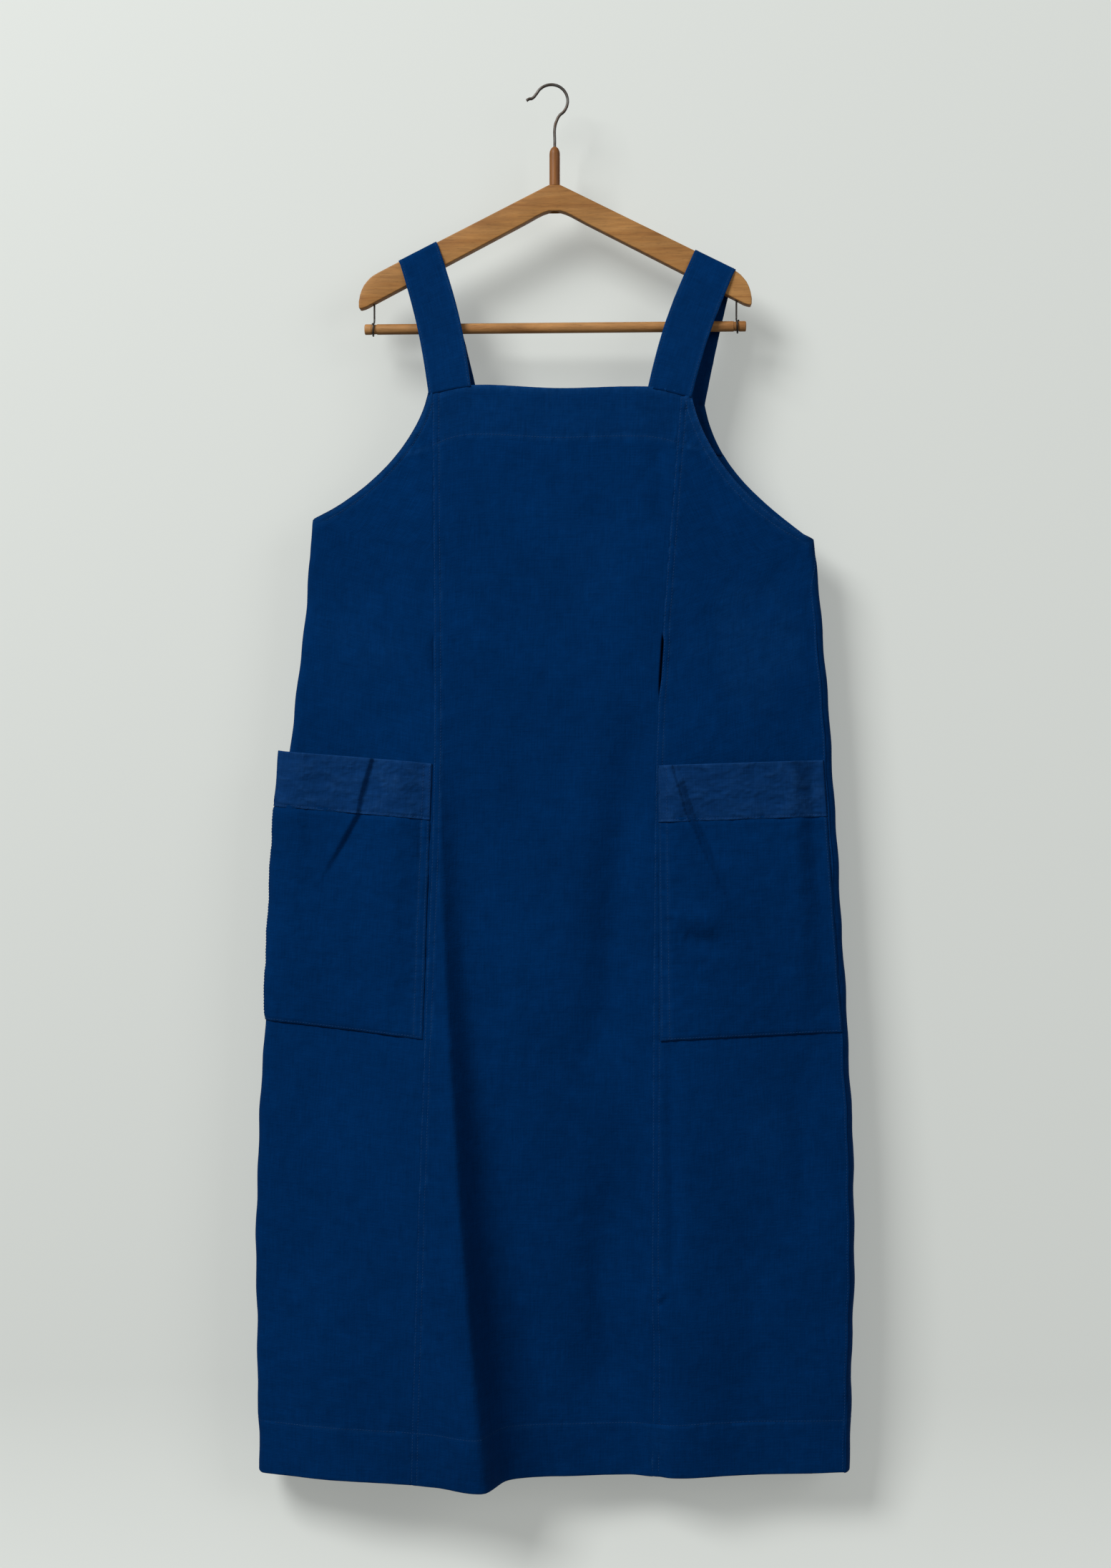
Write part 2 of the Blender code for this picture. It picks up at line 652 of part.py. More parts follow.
def main():
    clear_scene()
    parts = collection("artist_smock_on_hanger")
    cutters = collection("cutters")
    cloth, cloth_light = material("cloth", 0.9), material("cloth_light", 0.9)
    wood, wood_dark = material("wood", 0.45), material("wood_dark", 0.5)
    steel = material("steel", 0.35, 0.9)
    hook(parts, steel)
    hook_fasteners(parts, steel)
    neck(parts, wood_dark)
    yoke(parts, cutters, wood)
    bar_assembly(parts, wood, steel)
    for face in ("front", "back"):
        centre_panel(face, parts, cloth)
        bib_facing(face, parts, cloth)
    for side in ("left", "right"):
        side_panel("front", side, parts, cloth)
        side_panel("back", side, parts, cloth)
        armhole_binding(side, parts, cloth)
        pocket(side, parts, cloth, cloth_light)
        strap(side, parts, cloth)


main()
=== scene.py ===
import math

import bmesh
import bpy
import numpy as np
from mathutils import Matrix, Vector, noise


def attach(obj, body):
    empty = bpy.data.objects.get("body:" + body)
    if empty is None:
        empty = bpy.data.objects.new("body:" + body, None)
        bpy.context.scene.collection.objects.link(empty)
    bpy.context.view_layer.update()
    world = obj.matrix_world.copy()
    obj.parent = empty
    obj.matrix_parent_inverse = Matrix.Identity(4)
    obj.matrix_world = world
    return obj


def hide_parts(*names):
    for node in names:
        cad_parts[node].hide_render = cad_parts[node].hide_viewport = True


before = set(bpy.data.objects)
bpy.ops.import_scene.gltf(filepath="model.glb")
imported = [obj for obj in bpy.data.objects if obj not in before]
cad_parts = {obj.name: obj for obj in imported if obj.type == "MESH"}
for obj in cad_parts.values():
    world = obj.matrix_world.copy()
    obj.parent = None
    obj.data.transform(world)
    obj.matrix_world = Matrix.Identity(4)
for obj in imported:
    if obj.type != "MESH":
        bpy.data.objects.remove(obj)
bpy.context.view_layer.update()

sides = {"left": -1, "right": 1}
print("frame loaded")


def mix(a, b, share):
    return a + (b - a) * share


def ease(start, end, value):
    share = np.clip((value - start) / (end - start), 0, 1)
    return share * share * (3 - 2 * share)


def smoothCurve(places, values, at):
    # a smooth line through (place, value), where the places may differ from point to point of at
    at = np.asarray(at, float)
    places = np.stack([np.broadcast_to(np.asarray(place, float), at.shape) for place in places])
    values = np.array(values, float)
    last = len(values) - 1
    before = np.maximum(np.arange(last + 1) - 1, 0)
    after = np.minimum(np.arange(last + 1) + 1, last)
    rise = (values[after] - values[before]).reshape((-1,) + (1,) * at.ndim)
    slopes = rise / (places[after] - places[before])
    step = np.clip((at[None] >= places).sum(0) - 1, 0, last - 1)

    def take(table, index):
        return np.take_along_axis(table, index[None], 0)[0]

    start, end = take(places, step), take(places, step + 1)
    span = end - start
    share = np.clip((at - start) / span, 0, 1)
    rest = 1 - share
    return (values[step] * (1 + 2 * share) * rest**2 + values[step + 1] * share**2 * (3 - 2 * share)
            + take(slopes, step) * span * share * rest**2 - take(slopes, step + 1) * span * share**2 * rest)


def alongPoints(points, at):
    points = sorted(points)
    return smoothCurve([point[0] for point in points], [point[1] for point in points], at)


def cubicCurve(corners, share):
    a, b, c, d = (np.array(corner) for corner in corners)
    share = np.asarray(share, float)[..., None]
    rest = 1 - share
    return a * rest**3 + b * 3 * rest**2 * share + c * 3 * rest * share**2 + d * share**3


def bumps(x, z, size, seed, basis="PERLIN_ORIGINAL", tall=1.0):
    # noise of about -1 to 1 with lumps of this size, tall times as high as wide
    flat = zip(np.ravel(x) / size, np.ravel(z) / (size * tall))
    values = [noise.noise((a, b, seed), noise_basis=basis) for a, b in flat]
    return np.array(values).reshape(np.shape(x))


def distanceTo(path, x, z):
    # shortest way from each point to a line of (x, z) points, and how far along the line that is
    nearest = np.full(np.shape(x), 1e9)
    reached = np.zeros(np.shape(x))
    travelled = 0.0
    for (ax, az), (bx, bz) in zip(path[:-1], path[1:]):
        length = math.hypot(bx - ax, bz - az)
        share = np.clip(((x - ax) * (bx - ax) + (z - az) * (bz - az)) / length**2, 0, 1)
        away = np.hypot(x - ax - (bx - ax) * share, z - az - (bz - az) * share)
        closer = away < nearest
        nearest = np.where(closer, away, nearest)
        reached = np.where(closer, travelled + share * length, reached)
        travelled += length
    return nearest, reached


def deselectAll():
    if bpy.context.mode != "OBJECT":
        bpy.ops.object.mode_set(mode="OBJECT")
    bpy.ops.object.select_all(action="DESELECT")


def finishPiece(obj, name, body, finish, *replaced, slot=None):
    # names a modelled piece, puts its place in its mesh and sets it riding
    deselectAll()
    obj.select_set(True)
    bpy.context.view_layer.objects.active = obj
    bpy.ops.object.transform_apply(location=True, rotation=True, scale=True)
    obj.name = obj.data.name = name
    obj.data.materials.clear()
    obj.data.materials.append(finish)
    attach(obj, body)
    if replaced:
        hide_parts(*replaced)
    return obj


def applyModifiers(obj):
    deselectAll()
    obj.select_set(True)
    bpy.context.view_layer.objects.active = obj
    for modifier in list(obj.modifiers):
        bpy.ops.object.modifier_apply(modifier=modifier.name)


def pick(kind, test):
    # selects the faces, edges or verts of the mesh in edit mode that pass the test
    bpy.ops.mesh.select_mode(type={"faces": "FACE", "edges": "EDGE", "verts": "VERT"}[kind])
    bpy.ops.mesh.select_all(action="DESELECT")
    mesh = bmesh.from_edit_mesh(bpy.context.object.data)
    for part in getattr(mesh, kind):
        if test(part):
            part.select_set(True)
    mesh.select_flush_mode()
    bmesh.update_edit_mesh(bpy.context.object.data)


view = {
    "distance": 2.40,
    "azimuth": math.radians(2.5),
    "centre": Vector((0.0008, 0.0, -0.7605)),
    "height": 1.7098,  # of the picture, measured at the hanger
}


def setCamera():
    data = bpy.data.cameras.new("camera")
    data.sensor_width = 36.0
    data.lens = data.sensor_width * view["distance"] / view["height"]
    camera = bpy.data.objects.new("camera", data)
    bpy.context.scene.collection.objects.link(camera)
    towards = Vector((-math.sin(view["azimuth"]), math.cos(view["azimuth"]), 0))
    camera.location = view["centre"] - towards * view["distance"]
    camera.rotation_euler = towards.to_track_quat("-Z", "Y").to_euler()
    bpy.context.scene.camera = camera


stageShape = {"wallY": 0.050, "floorZ": -1.78, "halfWidth": 5.0, "top": 4.0, "front": -7.0, "cove": 0.35}
lighting = {
    "world": 0.20,
    "keyPower": 222.0,
    "keySize": 2.0,
    "keyPlace": (-2.50, -3.00, 2.30),
    "fillPower": 34.0,
    "fillPlace": (3.2, -2.9, 0.6),
    "rearPower": 34.0,
    "rearPlace": (0.9, 2.4, 0.6),
    "aim": (0.0, 0.0, -0.75),
    "wallGlow": 0.42,  # the share of the backdrop's own brightness, which keeps the shadows on it soft
}


def nodeIn(tree, kind, **settings):
    made = tree.nodes.new(kind)
    for key, value in settings.items():
        setattr(made, key, value)
    return made


def buildStage():
    # a pale cove that only the camera sees, and only from its front
    deselectAll()
    shape = stageShape
    bpy.ops.mesh.primitive_plane_add(size=1, location=(0, shape["wallY"], 0), rotation=(math.pi / 2, 0, 0))
    wall = bpy.context.object
    wall.scale = (shape["halfWidth"] * 2, shape["top"] - shape["floorZ"], 1)
    wall.location.z = (shape["top"] + shape["floorZ"]) / 2
    bpy.ops.object.transform_apply(location=True, rotation=True, scale=True)
    bpy.ops.object.mode_set(mode="EDIT")
    pick("edges", lambda edge: all(v.co.z < shape["floorZ"] + 0.01 for v in edge.verts))
    reach = shape["front"] - shape["wallY"]
    bpy.ops.mesh.extrude_region_move(TRANSFORM_OT_translate={"value": (0, reach, 0)})
    pick("edges", lambda edge: all(v.co.z < shape["floorZ"] + 0.01 and v.co.y > 0 for v in edge.verts))
    bpy.ops.mesh.bevel(offset=shape["cove"], segments=14, affect="EDGES")
    bpy.ops.object.mode_set(mode="OBJECT")
    bpy.ops.object.shade_smooth()
    wall.name = "backdrop"
    paint = bpy.data.materials.new("palePlaster")
    paint.use_nodes = True
    tree = paint.node_tree
    tree.nodes.clear()
    end = nodeIn(tree, "ShaderNodeOutputMaterial")
    pale = nodeIn(tree, "ShaderNodeBsdfDiffuse")
    pale.inputs["Color"].default_value = (0.765, 0.795, 0.760, 1)
    glow = nodeIn(tree, "ShaderNodeEmission")
    glow.inputs["Color"].default_value = (0.705, 0.730, 0.695, 1)
    glow.inputs["Strength"].default_value = 0.92
    paler = nodeIn(tree, "ShaderNodeMixShader")
    paler.inputs[0].default_value = lighting["wallGlow"]
    tree.links.new(pale.outputs[0], paler.inputs[1])
    tree.links.new(glow.outputs[0], paler.inputs[2])
    clear = nodeIn(tree, "ShaderNodeBsdfTransparent")
    choose = nodeIn(tree, "ShaderNodeMixShader")
    path = nodeIn(tree, "ShaderNodeLightPath")
    surface = nodeIn(tree, "ShaderNodeNewGeometry")
    front = nodeIn(tree, "ShaderNodeMath", operation="SUBTRACT")
    front.inputs[0].default_value = 1.0
    seen = nodeIn(tree, "ShaderNodeMath", operation="MULTIPLY")
    tree.links.new(surface.outputs["Backfacing"], front.inputs[1])
    tree.links.new(front.outputs[0], seen.inputs[0])
    tree.links.new(path.outputs["Is Camera Ray"], seen.inputs[1])
    tree.links.new(seen.outputs[0], choose.inputs[0])
    tree.links.new(clear.outputs[0], choose.inputs[1])
    tree.links.new(paler.outputs[0], choose.inputs[2])
    tree.links.new(choose.outputs[0], end.inputs["Surface"])
    wall.data.materials.append(paint)
    deselectAll()
    bpy.context.view_layer.objects.active = wall
    wall.select_set(True)
    if wall.data.polygons[0].normal.y > 0:
        bpy.ops.object.mode_set(mode="EDIT")
        bpy.ops.mesh.select_all(action="SELECT")
        bpy.ops.mesh.flip_normals()
        bpy.ops.object.mode_set(mode="OBJECT")


def addLight(name, place, power, size):
    data = bpy.data.lights.new(name, "AREA")
    data.energy = power
    data.size = size
    lamp = bpy.data.objects.new(name, data)
    bpy.context.scene.collection.objects.link(lamp)
    lamp.location = place
    towards = Vector(lighting["aim"]) - lamp.location
    lamp.rotation_euler = towards.to_track_quat("-Z", "Y").to_euler()
    return lamp


def setLight():
    addLight("keyLight", lighting["keyPlace"], lighting["keyPower"], lighting["keySize"])
    addLight("fillLight", lighting["fillPlace"], lighting["fillPower"], 2.0)
    addLight("rearLight", lighting["rearPlace"], lighting["rearPower"], 2.0)
    world = bpy.data.worlds.new("studio")
    bpy.context.scene.world = world
    world.use_nodes = True
    background = world.node_tree.nodes["Background"]
    background.inputs["Color"].default_value = (0.97, 0.99, 1.0, 1)
    background.inputs["Strength"].default_value = lighting["world"]
    bpy.context.scene.view_settings.view_transform = "Standard"


setCamera()
buildStage()
setLight()
print("camera, backdrop and lights set")


def newMaterial(name):
    made = bpy.data.materials.new(name)
    made.use_nodes = True
    return made, made.node_tree, made.node_tree.nodes["Principled BSDF"]


def multiplyColour(tree, first, second, amount=1.0):
    made = nodeIn(tree, "ShaderNodeMix", data_type="RGBA", blend_type="MULTIPLY")
    made.inputs[0].default_value = amount
    tree.links.new(first, made.inputs[6])
    tree.links.new(second, made.inputs[7])
    return made.outputs[2]


def mapped(tree, source, scale, turn=(0, 0, 0)):
    made = nodeIn(tree, "ShaderNodeMapping")
    made.inputs["Scale"].default_value = scale
    made.inputs["Rotation"].default_value = turn
    tree.links.new(source, made.inputs["Vector"])
    return made.outputs[0]


def noiseNode(tree, vector, scale, detail, roughness=0.5, distortion=0.0):
    made = nodeIn(tree, "ShaderNodeTexNoise")
    made.inputs["Scale"].default_value = scale
    made.inputs["Detail"].default_value = detail
    made.inputs["Roughness"].default_value = roughness
    made.inputs["Distortion"].default_value = distortion
    tree.links.new(vector, made.inputs["Vector"])
    return made.outputs[0]


def rampNode(tree, source, stops):
    made = nodeIn(tree, "ShaderNodeValToRGB")
    ramp = made.color_ramp
    while len(ramp.elements) < len(stops):
        ramp.elements.new(0.5)
    for element, (place, colour) in zip(ramp.elements, stops):
        element.position = place
        element.color = (*colour, 1) if len(colour) == 3 else colour
    tree.links.new(source, made.inputs[0])
    return made.outputs[0]


def grey(value):
    return (value, value, value)


def bumpNode(tree, height, distance, strength=1.0, under=None):
    made = nodeIn(tree, "ShaderNodeBump")
    made.inputs["Strength"].default_value = strength
    made.inputs["Distance"].default_value = distance
    tree.links.new(height, made.inputs["Height"])
    if under is not None:
        tree.links.new(under, made.inputs["Normal"])
    return made.outputs[0]


navyCloth = {
    "colour": (0.0004, 0.0215, 0.0930),
    "fadedAndLit": (0.0052, 0.0400, 0.1400),  # where edges and puckers have rubbed, and the painted highlight along the sides' outer line
    "threadPitch": 0.00085,
    "roughness": 0.90,
}
bandCloth = dict(navyCloth, colour=(0.0032, 0.0275, 0.1070), fadedAndLit=(0.0100, 0.0500, 0.1620))


def clothMaterial(name, look):
    made, tree, shader = newMaterial(name)
    shader.inputs["Roughness"].default_value = look["roughness"]
    shader.inputs["Specular IOR Level"].default_value = 0.16
    shader.inputs["Specular Tint"].default_value = (0.0, 0.22, 0.80, 1)
    shader.inputs["Sheen Weight"].default_value = 0.05
    shader.inputs["Sheen Roughness"].default_value = 0.45
    shader.inputs["Sheen Tint"].default_value = (0.0, 0.25, 0.85, 1)
    flat = nodeIn(tree, "ShaderNodeUVMap", uv_map="cloth").outputs[0]
    place = nodeIn(tree, "ShaderNodeTexCoord").outputs["Object"]
    # this attribute holds real rubbing and the painted highlight along the sides' outer line, both mixed
    # towards the paler tone
    wearAndLight = nodeIn(tree, "ShaderNodeAttribute", attribute_name="wearAndLight").outputs["Fac"]
    patchy = nodeIn(tree, "ShaderNodeMath", operation="MULTIPLY")
    tree.links.new(wearAndLight, patchy.inputs[0])
    blotch = noiseNode(tree, mapped(tree, flat, (170, 120, 1)), 1.0, 5.0, 0.6)
    tree.links.new(rampNode(tree, blotch, [(0.36, grey(0.35)), (0.62, grey(1.0))]), patchy.inputs[1])
    tone = nodeIn(tree, "ShaderNodeMix", data_type="RGBA")
    tone.inputs[6].default_value = (*look["colour"], 1)
    tone.inputs[7].default_value = (*look["fadedAndLit"], 1)
    tree.links.new(patchy.outputs[0], tone.inputs[0])
    # broad clouds, small mottling, then the slubs of the yarn both ways
    clouds = rampNode(tree, noiseNode(tree, place, 9.0, 4.0, 0.6), [(0.30, grey(0.90)), (0.72, grey(1.09))])
    mottle = rampNode(tree, noiseNode(tree, place, 75.0, 4.0, 0.68), [(0.30, grey(0.91)), (0.70, grey(1.11))])
    warp = noiseNode(tree, mapped(tree, flat, (620, 34, 1)), 1.0, 3.0, 0.6)
    weft = noiseNode(tree, mapped(tree, flat, (34, 620, 1)), 1.0, 3.0, 0.6)
    warpTone = rampNode(tree, warp, [(0.28, grey(0.88)), (0.74, grey(1.12))])
    weftTone = rampNode(tree, weft, [(0.28, grey(0.90)), (0.74, grey(1.10))])
    colour = multiplyColour(tree, tone.outputs[2], clouds)
    for layer in (mottle, warpTone, weftTone):
        colour = multiplyColour(tree, colour, layer)
    tree.links.new(colour, shader.inputs["Base Color"])
    # the plain weave itself: warp and weft ribs that pass over each other
    ribs = []
    for direction in ("X", "Y"):
        rib = nodeIn(tree, "ShaderNodeTexWave", bands_direction=direction, wave_profile="SIN")
        rib.inputs["Scale"].default_value = math.pi / 10 / look["threadPitch"] / 2
        rib.inputs["Distortion"].default_value = 0.7
        rib.inputs["Detail"].default_value = 1.0
        tree.links.new(flat, rib.inputs["Vector"])
        ribs.append(rib.outputs["Fac"])
    weave = nodeIn(tree, "ShaderNodeMath", operation="ADD")
    tree.links.new(ribs[0], weave.inputs[0])
    tree.links.new(ribs[1], weave.inputs[1])
    slub = nodeIn(tree, "ShaderNodeMath", operation="ADD")
    tree.links.new(warp, slub.inputs[0])
    tree.links.new(weft, slub.inputs[1])
    crumple = noiseNode(tree, flat, 210.0, 5.0, 0.62)
    bump = bumpNode(tree, crumple, 0.0012, 0.45)
    bump = bumpNode(tree, slub.outputs[0], 0.0003, 0.5, bump)
    bump = bumpNode(tree, weave.outputs[0], 0.00012, 0.5, bump)
    tree.links.new(bump, shader.inputs["Normal"])
    return made


def threadMaterial():
    made, tree, shader = newMaterial("sewingThread")
    shader.inputs["Roughness"].default_value = 0.75
    shader.inputs["Specular IOR Level"].default_value = 0.2
    place = nodeIn(tree, "ShaderNodeTexCoord").outputs["Object"]
    dark, pale = (0.002, 0.030, 0.115), (0.008, 0.048, 0.155)
    tone = rampNode(tree, noiseNode(tree, place, 60.0, 2.0), [(0.3, dark), (0.7, pale)])
    tree.links.new(tone, shader.inputs["Base Color"])
    twist = noiseNode(tree, place, 3000.0, 1.0)
    tree.links.new(bumpNode(tree, twist, 0.0001, 0.5), shader.inputs["Normal"])
    return made


honeyWood = {"light": (0.430, 0.212, 0.066), "mid": (0.372, 0.172, 0.049), "dark": (0.285, 0.118, 0.031)}
dowelWood = {"light": (0.480, 0.245, 0.088), "mid": (0.410, 0.194, 0.064), "dark": (0.290, 0.122, 0.036)}
neckWood = {"light": (0.300, 0.122, 0.036), "mid": (0.238, 0.090, 0.024), "dark": (0.140, 0.048, 0.013)}


def woodMaterial(name, look, along, roughness=0.42):
    # along: how much the grain is stretched on each axis
    made, tree, shader = newMaterial(name)
    shader.inputs["Specular IOR Level"].default_value = 0.22
    shader.inputs["Coat Weight"].default_value = 0.03
    shader.inputs["Coat Roughness"].default_value = 0.30
    place = nodeIn(tree, "ShaderNodeTexCoord").outputs["Object"]
    figure = noiseNode(tree, mapped(tree, place, tuple(7.0 * a for a in along)), 1.0, 5.0, 0.55, 0.6)
    fine = noiseNode(tree, mapped(tree, place, tuple(38.0 * a for a in along)), 1.0, 4.0, 0.65)
    pores = noiseNode(tree, mapped(tree, place, tuple(120.0 * a for a in along)), 1.0, 2.0, 0.5)
    colour = rampNode(tree, figure, [(0.30, look["dark"]), (0.47, look["mid"]), (0.66, look["light"])])
    colour = multiplyColour(tree, colour, rampNode(tree, fine, [(0.30, grey(0.80)), (0.62, grey(1.06))]))
    colour = multiplyColour(tree, colour, rampNode(tree, pores, [(0.30, grey(0.72)), (0.42, grey(1.0))]))
    handled = noiseNode(tree, place, 16.0, 3.0, 0.5)
    colour = multiplyColour(tree, colour, rampNode(tree, handled, [(0.32, grey(0.86)), (0.66, grey(1.05))]))
    tree.links.new(colour, shader.inputs["Base Color"])
    gloss = rampNode(tree, fine, [(0.2, grey(roughness + 0.14)), (0.8, grey(roughness - 0.06))])
    tree.links.new(gloss, shader.inputs["Roughness"])
    bump = bumpNode(tree, fine, 0.0003, 0.30)
    bump = bumpNode(tree, pores, 0.0002, 0.25, bump)
    tree.links.new(bump, shader.inputs["Normal"])
    return made


def steelMaterial(name, colour, stain, roughness):
    made, tree, shader = newMaterial(name)
    shader.inputs["Metallic"].default_value = 0.85
    place = nodeIn(tree, "ShaderNodeTexCoord").outputs["Object"]
    patches = noiseNode(tree, place, 60.0, 5.0, 0.65)
    tone = rampNode(tree, patches, [(0.34, stain), (0.60, colour)])
    tree.links.new(tone, shader.inputs["Base Color"])
    scratches = noiseNode(tree, mapped(tree, place, (900, 900, 120)), 1.0, 3.0, 0.6)
    tree.links.new(rampNode(tree, scratches, [(0.3, grey(roughness + 0.16)), (0.7, grey(roughness))]),
                   shader.inputs["Roughness"])
    tree.links.new(bumpNode(tree, scratches, 0.00012, 0.4), shader.inputs["Normal"])
    return made


navy = clothMaterial("navyLinen", navyCloth)
navyBand = clothMaterial("navyLinenCrushed", bandCloth)
thread = threadMaterial()
yokeFinish = woodMaterial("honeyBeech", honeyWood, (1.0, 9.0, 13.0))
barFinish = woodMaterial("dowelBeech", dowelWood, (1.0, 10.0, 10.0))
neckFinish = woodMaterial("turnedNeckWood", neckWood, (11.0, 11.0, 1.0))
hookSteel = steelMaterial("dulledSteel", (0.130, 0.126, 0.118), (0.070, 0.046, 0.032), 0.36)
wireSteel = steelMaterial("darkWire", (0.060, 0.056, 0.050), (0.032, 0.022, 0.015), 0.42)
print("materials made")


hookShape = {
    "radius": 0.0016,
    "bend": 0.018,
    "shift": 0.0039,  # the bend's centre lies this far left of the stem
    "tip": ((-0.0308, -0.0150), (-0.0280, -0.0132), (-0.0250, -0.0128)),
    "throat": ((0.0022, -0.0372), (0.0002, -0.0440), (0.0, -0.0600)),
    "stemEnd": -0.1288,
}


def bentWire(name, points, radius, around=5, between=10):
    deselectAll()
    bpy.ops.curve.primitive_bezier_curve_add()
    obj = bpy.context.object
    curve = obj.data
    curve.splines.clear()
    curve.bevel_depth = radius
    curve.bevel_resolution = around
    curve.use_fill_caps = True
    curve.resolution_u = between
    spline = curve.splines.new("BEZIER")
    spline.bezier_points.add(len(points) - 1)
    for knot, point in zip(spline.bezier_points, points):
        knot.co = point
        knot.handle_left_type = knot.handle_right_type = "AUTO"
    bpy.ops.object.convert(target="MESH")
    obj = bpy.context.object
    obj.name = name
    bpy.ops.object.mode_set(mode="EDIT")
    bpy.ops.mesh.select_all(action="SELECT")
    bpy.ops.mesh.remove_doubles(threshold=0.00001)
    bpy.ops.mesh.normals_make_consistent(inside=False)
    bpy.ops.object.mode_set(mode="OBJECT")
    bpy.ops.object.shade_smooth_by_angle(angle=math.radians(60))
    return obj


def makeHook():
    shape = hookShape
    inner = shape["bend"] - shape["radius"]
    centre = Vector((-shape["shift"], 0, -math.sqrt(inner**2 - shape["shift"]**2)))
    points = [Vector((x, 0, z)) for x, z in shape["tip"]]
    for angle in range(152, -60, -15):
        turn = math.radians(angle)
        points.append(centre + Vector((math.cos(turn), 0, math.sin(turn))) * shape["bend"])
    points += [Vector((x, 0, z)) for x, z in shape["throat"]] + [Vector((0, 0, shape["stemEnd"]))]
    hook = bentWire("bentHook", points, shape["radius"])
    finishPiece(hook, "bentHook", "hook_body", hookSteel, "hook", slot="hook_steel")


yokeShape = {
    "thickness": 0.0130,
    "edgeRound": 0.0040,
    # from the middle out: x, top, underside
    "stations": (
        (0.0064, -0.1088, -0.1371), (0.0120, -0.1116, -0.1389), (0.0180, -0.1146, -0.1417),
        (0.0250, -0.1181, -0.1456), (0.0330, -0.1221, -0.1500), (0.0800, -0.1457, -0.1744),
        (0.1300, -0.1707, -0.2004), (0.1800, -0.1957, -0.2263), (0.1930, -0.2024, -0.2331),
        (0.1980, -0.2052, -0.2357), (0.2020, -0.2083, -0.2378), (0.2056, -0.2124, -0.2397),
        (0.2084, -0.2161, -0.2407), (0.2110, -0.2214, -0.2414), (0.2127, -0.2268, -0.2414),
        (0.2140, -0.2340, -0.2404),
    ),
    "hookBore": 0.0019,
    "nutBore": 0.0048,
    "nutTop": -0.1238,
    "wireX": 0.1975,
    "wireBore": 0.0020,
    "wireTop": -0.2250,
}


def drill(obj, x, radius, top, low):
    deselectAll()
    middle = (x, 0, (top + low) / 2)
    bpy.ops.mesh.primitive_cylinder_add(vertices=28, radius=radius, depth=top - low, location=middle)
    bit = bpy.context.object
    cut = obj.modifiers.new("drill", "BOOLEAN")
    cut.object = bit
    cut.operation = "DIFFERENCE"
    cut.solver = "EXACT"
    applyModifiers(obj)
    bpy.data.objects.remove(bit)


def makeYoke():
    shape = yokeShape
    deselectAll()
    firstX, top, low = shape["stations"][0]
    bpy.ops.mesh.primitive_cube_add(size=1, location=(firstX / 2, 0, (top + low) / 2))
    yoke = bpy.context.object
    yoke.scale = (firstX, shape["thickness"], top - low)
    bpy.ops.object.transform_apply(location=True, rotation=True, scale=True)
    bpy.ops.object.mode_set(mode="EDIT")
    pick("faces", lambda face: face.normal.x < -0.9)
    bpy.ops.mesh.delete(type="ONLY_FACE")
    pick("faces", lambda face: face.normal.x > 0.9)
    x = firstX
    for nextX, nextTop, nextLow in shape["stations"][1:]:
        slide = (nextX - x, 0, (nextTop + nextLow - top - low) / 2)
        bpy.ops.mesh.extrude_region_move(TRANSFORM_OT_translate={"value": slide})
        middle = (nextX, 0, (nextTop + nextLow) / 2)
        bpy.ops.transform.resize(value=(1, 1, (nextTop - nextLow) / (top - low)), center_override=middle)
        x, top, low = nextX, nextTop, nextLow
    bpy.ops.object.mode_set(mode="OBJECT")
    mirror = yoke.modifiers.new("otherArm", "MIRROR")
    mirror.use_clip = True
    mirror.merge_threshold = 0.0001
    rounding = yoke.modifiers.new("roundedEdges", "BEVEL")
    rounding.width = shape["edgeRound"]
    rounding.segments = 6
    rounding.limit_method = "ANGLE"
    rounding.angle_limit = math.radians(50)
    applyModifiers(yoke)
    bpy.ops.object.mode_set(mode="EDIT")
    bpy.ops.mesh.select_all(action="SELECT")
    bpy.ops.mesh.remove_doubles(threshold=0.00002)
    bpy.ops.mesh.normals_make_consistent(inside=False)
    bpy.ops.object.mode_set(mode="OBJECT")
    drill(yoke, 0, shape["hookBore"], -0.100, -0.145)
    drill(yoke, 0, shape["nutBore"], shape["nutTop"], -0.145)
    for sign in sides.values():
        drill(yoke, sign * shape["wireX"], shape["wireBore"], shape["wireTop"], -0.250)
    bpy.ops.object.shade_smooth_by_angle(angle=math.radians(32))
    finishPiece(yoke, "woodenYoke", "hanger_body", yokeFinish, "yoke", slot="hanger_wood")


neckShape = {"radius": 0.0058, "low": -0.1085, "shoulder": -0.0740, "dome": 0.0085, "bore": 0.0019}


